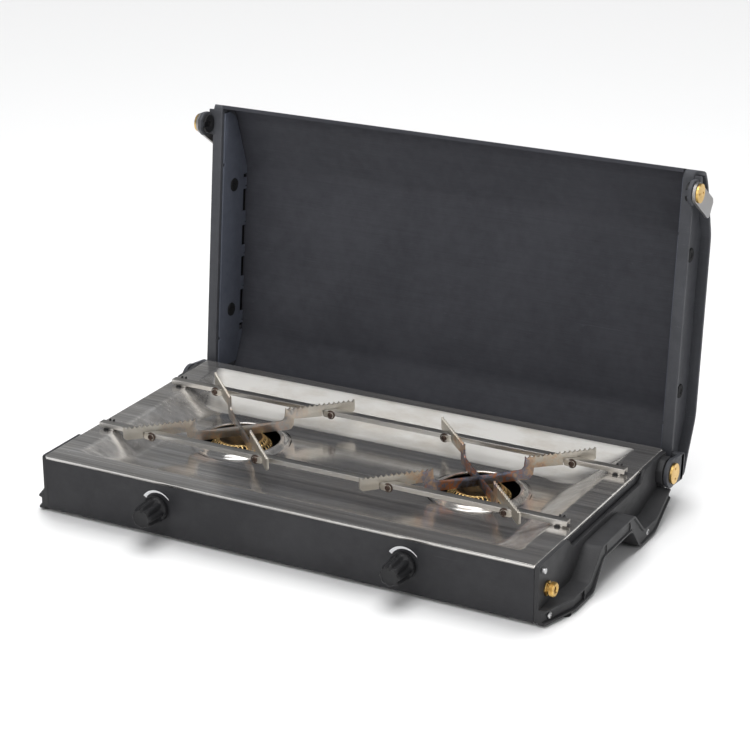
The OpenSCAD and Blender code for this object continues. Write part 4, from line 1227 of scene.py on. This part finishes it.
@dataclass
class Lid:
    """The domed lid: a folded panel between two moulded sides with castellated liners."""

    length: float = 282.0
    rear: float = 16.0
    dome: float = 50.0
    thick: float = 1.0
    flange_lip: float = 3.6
    tabs: tuple = ((202.0, 190.0), (167.0, 152.0), (131.0, 119.0), (98.0, 84.0), (61.0, 48.0))

    def dome_line(self) -> np.ndarray:
        """Outer line of the panel from its free edge's return to the rear lip, as u and w."""
        length = self.length
        return np.array([(length - self.flange_lip, 0.0), (length, 0.0), (length - 4.5, 22), (length - 16.5, 30),
                         (length - 68.5, self.dome), (self.rear + 21, self.dome), (self.rear - 11, 38),
                         (-self.rear, 31), (-self.rear, 0.5)])

    def panel_shape(self) -> Shape:
        """Panel: the softened outer line and its parallel inside, closed and drawn out across the width."""
        reach = np.array([0, 1.2, 4, 4, 7, 7, 5, 3, 0], float)
        outer = softened(self.dome_line(), reach, 5, closed=False)
        way = np.gradient(outer, axis=0)
        way /= np.linalg.norm(way, axis=1, keepdims=True)
        inner = outer + np.stack([-way[:, 1], way[:, 0]], 1) * -self.thick
        check = inner.mean(0) - outer.mean(0)
        if check[1] > 0:
            inner = outer + np.stack([-way[:, 1], way[:, 0]], 1) * self.thick
        line = np.vstack([outer, inner[::-1]]) * np.array([-1.0, 1.0])
        x_half = HALF_W - 4.1
        sections = np.stack([Plane.X.place(line, np.full(len(line), x)) for x in np.linspace(-x_half, x_half, 9)])
        return LID.open(loft(sections))

    def liner_shape(self) -> Shape:
        """Liner plate whose dome edge carries tabs with gaps between them, and whose rim edge has two nicks."""
        top, sunk = self.dome - 1.3, self.dome - 7.6
        length = self.length
        line = [(8, 3.6), (38, 3.6), (38, 5.6), (41, 5.6), (41, 3.6), (219, 3.6), (219, 5.6), (222, 5.6),
                (222, 3.6), (length - 9, 3.6), (length - 8, 12), (length - 13, 22), (length - 19, 27.2),
                (length - 69, top), (206, top), (206, sunk)]
        for start, end in self.tabs:
            line += [(start, sunk), (start, top), (end + 3.4, top), (end + 3.4, top - 2.6),
                     (end + 2.4, top - 2.6), (end + 2.4, top), (end, top), (end, sunk)]
        line += [(41, sunk), (41, top), (37.5, top), (9, 37.6)]
        flat = anticlockwise(np.array(line) * FLIP)
        return LID.open(plate(softened(flat, 0.35, 2), HALF_W - 5.9, HALF_W - 4.31, 0.2, Plane.X, 2))

    def plug_shapes(self) -> Shape:
        """Rubber plugs: a domed flange with a sunken cross on each face of a lid side."""
        outer = [(0.0, 0.3), (2.6, 0.3), (3.0, 0.9), (5.2, 1.2), (6.6, 0.8), (7.0, 0.0), (0.0, -0.1)]
        made = None
        for u, w in ((self.length - 84.5, 24.0), (self.length - 215.5, 25.0)):
            out_face = lathe([(r, HALF_W + 0.35 + h) for r, h in outer], Plane.X, 32)
            in_face = lathe([(r, HALF_W - 5.9 - h) for r, h in outer], Plane.X, 32)
            cross = plate(softened(np.array([(-2.4, -0.5), (2.4, -0.5), (2.4, 0.5), (-2.4, 0.5)], float), 0.3, 2), HALF_W - 6.9, HALF_W - 6.0, 0.15, Plane.X, 2)
            upright = cross.turned(np.array([[1, 0, 0], [0, 0, 1], [0, 1, 0]]))
            plug = LID.open((out_face + in_face + cross + upright).moved(y=-u, z=w))
            made = plug if made is None else made + plug
        return made

    def side_line(self, grow: float = 0.0) -> np.ndarray:
        """Closed outline of a lid side as -u and w, with softened corners."""
        line = np.vstack([[self.length, 0.0], self.dome_line()[2:-1], [-self.rear, 0.0]])
        reach = np.array([9.0, 4, 4, 7, 7, 5, 4, 4])
        flat = line * np.array([-1.0, 1.0])
        if np.sum(flat[:, 0] * np.roll(flat[:, 1], -1) - np.roll(flat[:, 0], -1) * flat[:, 1]) < 0:
            flat, reach = flat[::-1], reach[::-1]
        return inset(softened(flat, reach, 5), grow)

    def side_plate(self) -> Shape:
        """Flat plate that closes the lid's end."""
        return LID.open(plate(self.side_line(0.04), HALF_W - 4.06, HALF_W + 0.3, 0.2, Plane.X, 2))

    def side_rim(self) -> Shape:
        """Outward rim round the plate: a rounded bar whose reach grows from the rim edge to the dome."""
        outer = self.side_line()
        reach = np.interp(outer[:, 1], [2.0, 9.0], [HALF_W + 6.5, HALF_W + 10.0])
        ring = []
        section = ((0.0, None), (0.0, 0.9), (0.25, 0.25), (0.9, 0.0),
                   (3.1, 0.0), (3.75, 0.25), (4.0, 0.9), (4.0, None))
        for grow, back in section:
            x = np.full(len(outer), HALF_W - 0.2) if back is None else reach - back
            ring.append(Plane.X.place(inset(outer, grow), x))
        return LID.open(loft(np.stack(ring, 1), closed=True, ring=True))

    def hinge_arm(self) -> Shape:
        """Arm from the lid's corner down to an eye about the hinge bolt, and its root on the plate."""
        bore = 6.3
        w0 = -LID.rim
        turn = np.radians(np.linspace(200.0, -20.0, 23))
        eye = np.stack([14.2 * np.cos(turn), w0 - 14.2 * np.abs(np.sin(turn)) * np.sign(np.sin(turn))], 1)
        line = np.vstack([[-13.0, 9.0], eye[::1], [13.0, 9.0]]) if eye[0, 0] < 0 else np.vstack([[13.0, 9.0], eye, [-13.0, 9.0]])
        arm = plate(line, HALF_W + 12.45, HALF_W + 16.15, 0.5, Plane.X, 2)
        root = [(-13.0, 2.0), (13.0, 2.0), (11.5, 9.0), (6.0, 11.5), (-9.0, 11.5), (-13.0, 9.0)]
        block = plate(softened(anticlockwise(root), 1.5, 3), HALF_W + 0.1, HALF_W + 16.15, 0.6, Plane.X, 2)
        return LID.open(arm + block)

    def latch_boss(self) -> Shape:
        """Eight-sided cheeks on both sides of the latch, the web that joins them and a small eyelet."""
        past = math.radians(LID.opened - 90.0)
        dy, dz = LATCH[1] - HINGE[1], LATCH[2] - HINGE[2]
        w = dy * math.cos(past) - dz * math.sin(past) - LID.rim
        u = dy * math.sin(past) + dz * math.cos(past)
        octagon = softened(regular(8, 12.4, 22.5) + np.array([-u, w]), 1.0, 2)
        above = np.stack([octagon[:, 0], np.maximum(octagon[:, 1], 0.4)], 1)
        kept = np.linalg.norm(above - np.roll(above, 1, 0), axis=1) > 0.05
        inner = plate(above[kept], HALF_W + 0.1, HALF_W + 4.7, 0.3, Plane.X, 2)
        outer = plate(octagon, HALF_W + 8.3, HALF_W + 11.95, 0.5, Plane.X, 2)
        root = [(-u - 13.5, 1.3), (-u + 12.5, 1.3), (-u + 10.5, 7.0),
                (-u + 7.0, 9.0), (-u - 7.0, 9.0), (-u - 12.5, 7.0)]
        web = plate(softened(anticlockwise(root), 1.2, 2), HALF_W + 0.1, HALF_W + 11.95, 0.5, Plane.X, 2)
        profile = [(1.9, 0.0), (4.4, 0.0), (4.6, 0.4), (4.6, 4.4), (4.2, 4.8), (2.2, 4.8), (1.9, 4.4), (1.9, 0.0)]
        eyelet = lathe(profile, Plane.X, 32).walls().moved(x=HALF_W + 0.2, y=-u + 14.8, z=5.2)
        return LID.open(joined((inner, outer, web, eyelet)))

    def build(self) -> None:
        """Builds the panel, liners and plugs and refines the moulded sides; behind each liner a near-black strip
        is painted shade that shows in the gaps between its tabs.
        """
        add_piece("lid_panel_sheet", self.panel_shape(), LID_PAINT.material(), "lid_panel", ["lid_panel"])
        # Painted shade: a near-black strip between each liner and its side plate, so the gaps between the liner's
        # tabs read dark as shaded openings.
        shade_outline = rectangle(-205, -45, self.dome - 9, self.dome - 1.1)
        painted_shade_strip = LID.open(plate(shade_outline, HALF_W - 4.3, HALF_W - 4.07, 0.02, Plane.X, 1))
        add_piece("lid_plug_set", self.plug_shapes().pair(), RUBBER.material(), "lid_plugs", ["lid_plugs"])
        for side in Side:
            node = "lid_side_" + side.word
            plastic = LID_SIDE_PLASTIC.material()
            add_piece(node + "_plate", self.side_plate().mirrored(side), plastic, node, [node])
            add_piece(node + "_rim", self.side_rim().mirrored(side), plastic, node)
            add_piece(node + "_hinge_arm", self.hinge_arm().mirrored(side), plastic, node)
            add_piece(node + "_latch_boss", self.latch_boss().mirrored(side), plastic, node)
            add_piece(node + "_liner", self.liner_shape().mirrored(side), LINER_PLASTIC.material(), node)
            add_piece(node + "_liner_back", painted_shade_strip.mirrored(side), PAINTED_GAP_SHADE.material(), node)


@dataclass
class Hardware:
    """Hinge bolts, hinge caps and the two latches."""

    side: Side

    def build(self) -> None:
        """Rounds and dresses each turned or stamped part."""
        word = self.side.word
        refine("hinge_bolt_" + word, PLATED_STEEL.material(), 0.3)
        refine("hinge_cap_" + word, CAP_BRASS.material(), 0.5)
        refine("latch_cap_" + word, CAP_BRASS.material(), 0.5)
        refine("latch_lever_" + word, LEVER_STEEL.material(), 0.4)
        refine("latch_cam_" + word, BLACK_PLASTIC.material(), 0.4)


@dataclass
class Knob:
    """A fluted, tapering knob and the printed crescent round it."""

    side: Side
    base_r: float = 12.5
    front_r: float = 9.9
    reach: float = 28.0
    flutes: int = 8
    spans: int = 96
    mark_r: float = 15.8

    def shape(self) -> Shape:
        """Knob: radius falls from base to front, less a flute depth times a sharpened cosine of the angle."""
        stations = np.array([[2.0, self.base_r - 0.7, 0.0], [2.4, self.base_r - 0.1, 0.0], [3.2, self.base_r, 0.0], [5.8, self.base_r, 0.0],
                             [6.6, self.base_r - 0.4, 0.2], [7.4, self.base_r - 0.9, 0.9], [9.0, self.base_r - 1.0, 2.0],
                             [15.0, self.base_r - 1.3, 2.3], [22.0, self.front_r + 0.9, 2.2], [25.6, self.front_r + 0.5, 1.9],
                             [27.0, self.front_r - 0.1, 1.4], [27.8, self.front_r - 1.1, 0.8], [28.0, self.front_r - 1.9, 0.3],
                             [27.7, self.front_r - 2.6, 0.0], [27.4, self.front_r - 3.4, 0.0], [27.4, 0.0, 0.0]])
        angle = np.arange(self.spans) / self.spans * 2 * math.pi
        dip = (0.5 - 0.5 * np.cos(self.flutes * angle)) ** 1.6
        radius = np.maximum(stations[:, 1:2] - stations[:, 2:3] * dip[None], 0.0)
        flat = np.stack([radius * np.sin(angle), radius * np.cos(angle)], -1)
        deep = np.broadcast_to(-stations[:, :1], radius.shape)
        return loft(Plane.Y.place(flat, deep))

    def pointer(self) -> Shape:
        """Small raised pointer bar on the knob's front rim."""
        line = softened(np.array([(-0.6, 5.4), (0.6, 5.4), (0.6, 8.2), (-0.6, 8.2)], float), 0.4, 3)
        return plate(line, -27.98, -26.8, 0.12, Plane.Y, 2)

    def crescent(self) -> Shape:
        """Printed crescent: its width shrinks along the arc from the left to the right."""
        angle = np.radians(np.linspace(148.0, 38.0, 40))
        half = np.interp(angle, [np.radians(38.0), np.radians(148.0)], [0.5, 3.4]) / 2
        outer = around(angle) * (self.mark_r + half)[:, None]
        inner = around(angle) * (self.mark_r - half)[:, None]
        line = anticlockwise(np.vstack([outer, inner[::-1]]))
        return plate(line, -0.22, 0.1, 0.05, Plane.Y, 1)

    def build(self) -> None:
        """Builds the knob, its pointer and the panel's crescent."""
        x, z = self.side.value * BURNER_X / MM, (low("knob_left")[2] + high("knob_left")[2]) / 2
        node = "knob_" + self.side.word
        black = BLACK_PLASTIC.material()
        add_piece(node + "_grip", self.shape().moved(x=x, y=FRONT_Y, z=z), black, node, [node], 40.0)
        add_piece(node + "_pointer", self.pointer().moved(x=x, y=FRONT_Y, z=z), black, node)
        crescent = self.crescent().moved(x=x, y=FRONT_Y, z=z)
        add_piece("flame_mark_" + self.side.word, crescent, MARK_PRINT.material(), "base_tray")


@dataclass
class GasInlet:
    """Stepped brass inlet with a six-sided flange and a short outside thread."""

    thread_r: float = 6.58
    turns: int = 4

    def shape(self) -> Shape:
        """Turned body: a neck, a thread of ridges and a chamfered mouth with its bore."""
        x0, x1 = HALF_W + 4.5, high("gas_inlet")[0]
        start = x1 - 4.4
        ridge = np.linspace(start, x1 - 0.5, self.turns * 2 + 1)
        depth = np.where(np.arange(len(ridge)) % 2 == 0, self.thread_r - 0.5, self.thread_r)
        profile = [(2.5, x0 - 4), (4.7, x0 - 4), (4.7, start - 0.2)] + list(zip(depth, ridge))
        profile += [(self.thread_r - 0.9, x1), (3.4, x1), (2.5, x1 - 0.8), (2.5, x0 - 4)]
        return lathe(profile, Plane.X, 48).walls()

    def flange(self) -> Shape:
        """Six-sided flange against the side wall."""
        outline = softened(regular(6, 7.0, 0.0), 0.6, 2)
        return plate(outline, HALF_W + 4.5, HALF_W + 6.5, 0.35, Plane.X, 2)

    def build(self) -> None:
        """Builds the inlet on the gas line's axis and dresses the line and nut."""
        lo, hi = low("gas_inlet"), high("gas_inlet")
        y, z = (lo[1] + hi[1]) / 2, (lo[2] + hi[2]) / 2
        brass = CAP_BRASS.material()
        fitting = (self.shape() + self.flange()).moved(y=y, z=z)
        add_piece("gas_inlet_fitting", fitting, brass, "gas_inlet", ["gas_inlet"])
        dress("gas_line", brass)
        dress("inlet_nut", brass)


@dataclass
class Studio:
    """Camera, pale floor and soft lights."""

    azimuth: float = 28.9
    elevation: float = 21.1
    roll: float = -0.43
    distance: float = 2.403
    target: tuple = (-0.0914, 0.1601, 0.057)
    lens: float = 113.9
    shift: tuple = (0.0148, -0.0036)

    def camera(self) -> None:
        """Looks at the stove from its front right, from a little above."""
        a, e, r = (math.radians(v) for v in (self.azimuth, self.elevation, self.roll))
        back = Vector((math.sin(a) * math.cos(e), -math.cos(a) * math.cos(e), math.sin(e)))
        right = Vector((math.cos(a), math.sin(a), 0.0))
        up = back.cross(right)
        across = right * math.cos(r) + up * math.sin(r)
        above = up * math.cos(r) - right * math.sin(r)
        data = bpy.data.cameras.new("camera")
        data.lens, data.sensor_width = self.lens, 36.0
        data.shift_x, data.shift_y = self.shift
        data.clip_start, data.clip_end = 0.05, 50.0
        camera = bpy.data.objects.new("camera", data)
        turn = Matrix((across, above, back)).transposed().to_4x4()
        camera.matrix_world = Matrix.Translation(Vector(self.target) + back * self.distance) @ turn
        bpy.context.collection.objects.link(camera)
        bpy.context.scene.camera = camera

    def lamp(self, name: str, place: tuple, aim: tuple, size: float, power: float) -> None:
        """Adds a square soft light.

        Args:
            name: Its name.
            place: Its position in metres.
            aim: The point it faces.
            size: Its side in metres.
            power: Its power in watts.
        """
        data = bpy.data.lights.new(name, "AREA")
        data.size, data.energy = size, power
        lamp = bpy.data.objects.new(name, data)
        lamp.location = place
        lamp.rotation_euler = (Vector(place) - Vector(aim)).to_track_quat("Z", "Y").to_euler()
        bpy.context.collection.objects.link(lamp)

    def floor(self) -> None:
        """Pale matte floor."""
        mesh = bpy.data.meshes.new("floor")
        half = 12.0
        corners = [(-half, -half, 0), (half, -half, 0), (half, half, 0), (-half, half, 0)]
        mesh.from_pydata(corners, [], [(0, 1, 2, 3)])
        paint = bpy.data.materials.new("floor_paint")
        paint.use_nodes = True
        shader = paint.node_tree.nodes["Principled BSDF"]
        shader.inputs["Base Color"].default_value = (0.82, 0.82, 0.82, 1)
        shader.inputs["Roughness"].default_value = 0.9
        shader.inputs["Specular IOR Level"].default_value = 0.1
        mesh.materials.append(paint)
        floor = bpy.data.objects.new("floor", mesh)
        bpy.context.collection.objects.link(floor)

    def lights(self) -> None:
        """Even surroundings, a wide sun from behind, an overhead light and fills in front and on the right."""
        world = bpy.data.worlds.new("surroundings")
        world.use_nodes = True
        back = world.node_tree.nodes["Background"]
        back.inputs["Color"].default_value = (0.97, 0.98, 1.0, 1)
        back.inputs["Strength"].default_value = 0.2
        bpy.context.scene.world = world
        sun = bpy.data.lights.new("daylight", "SUN")
        sun.energy, sun.angle = 3.2, math.radians(54.0)
        lamp = bpy.data.objects.new("daylight", sun)
        lamp.rotation_euler = Vector((-0.3, 0.88, 1.3)).to_track_quat("Z", "Y").to_euler()
        lamp.visible_glossy = False
        bpy.context.collection.objects.link(lamp)
        self.lamp("overhead", (0.0, -0.3, 1.6), (0.0, 0.0, 0.0), 1.2, 14.0)
        self.lamp("front_fill", (-0.2, -2.2, 1.3), (0.0, 0.0, 0.1), 1.3, 15.5)
        self.lamp("right_fill", (2.1, -0.5, 0.9), (0.0, 0.0, 0.15), 1.1, 9.0)
        bpy.context.scene.view_settings.view_transform = "Standard"


def main() -> None:
    """Builds the scene and the stove, sub-assembly by sub-assembly."""
    logging.basicConfig(level=logging.INFO, format="%(name)s: %(message)s")
    studio = Studio()
    studio.camera()
    studio.floor()
    studio.lights()
    assemblies = [Case(), *[SideFrame(s) for s in Side], Fasteners(), DripPan(), *[Burner(s) for s in Side],
                  PotSupport(), Lid(), *[Hardware(s) for s in Side], *[Knob(s) for s in Side], GasInlet()]
    for assembly in assemblies:
        LOG.info("building %s", type(assembly).__name__)
        assembly.build()


if __name__ == "__main__":
    main()
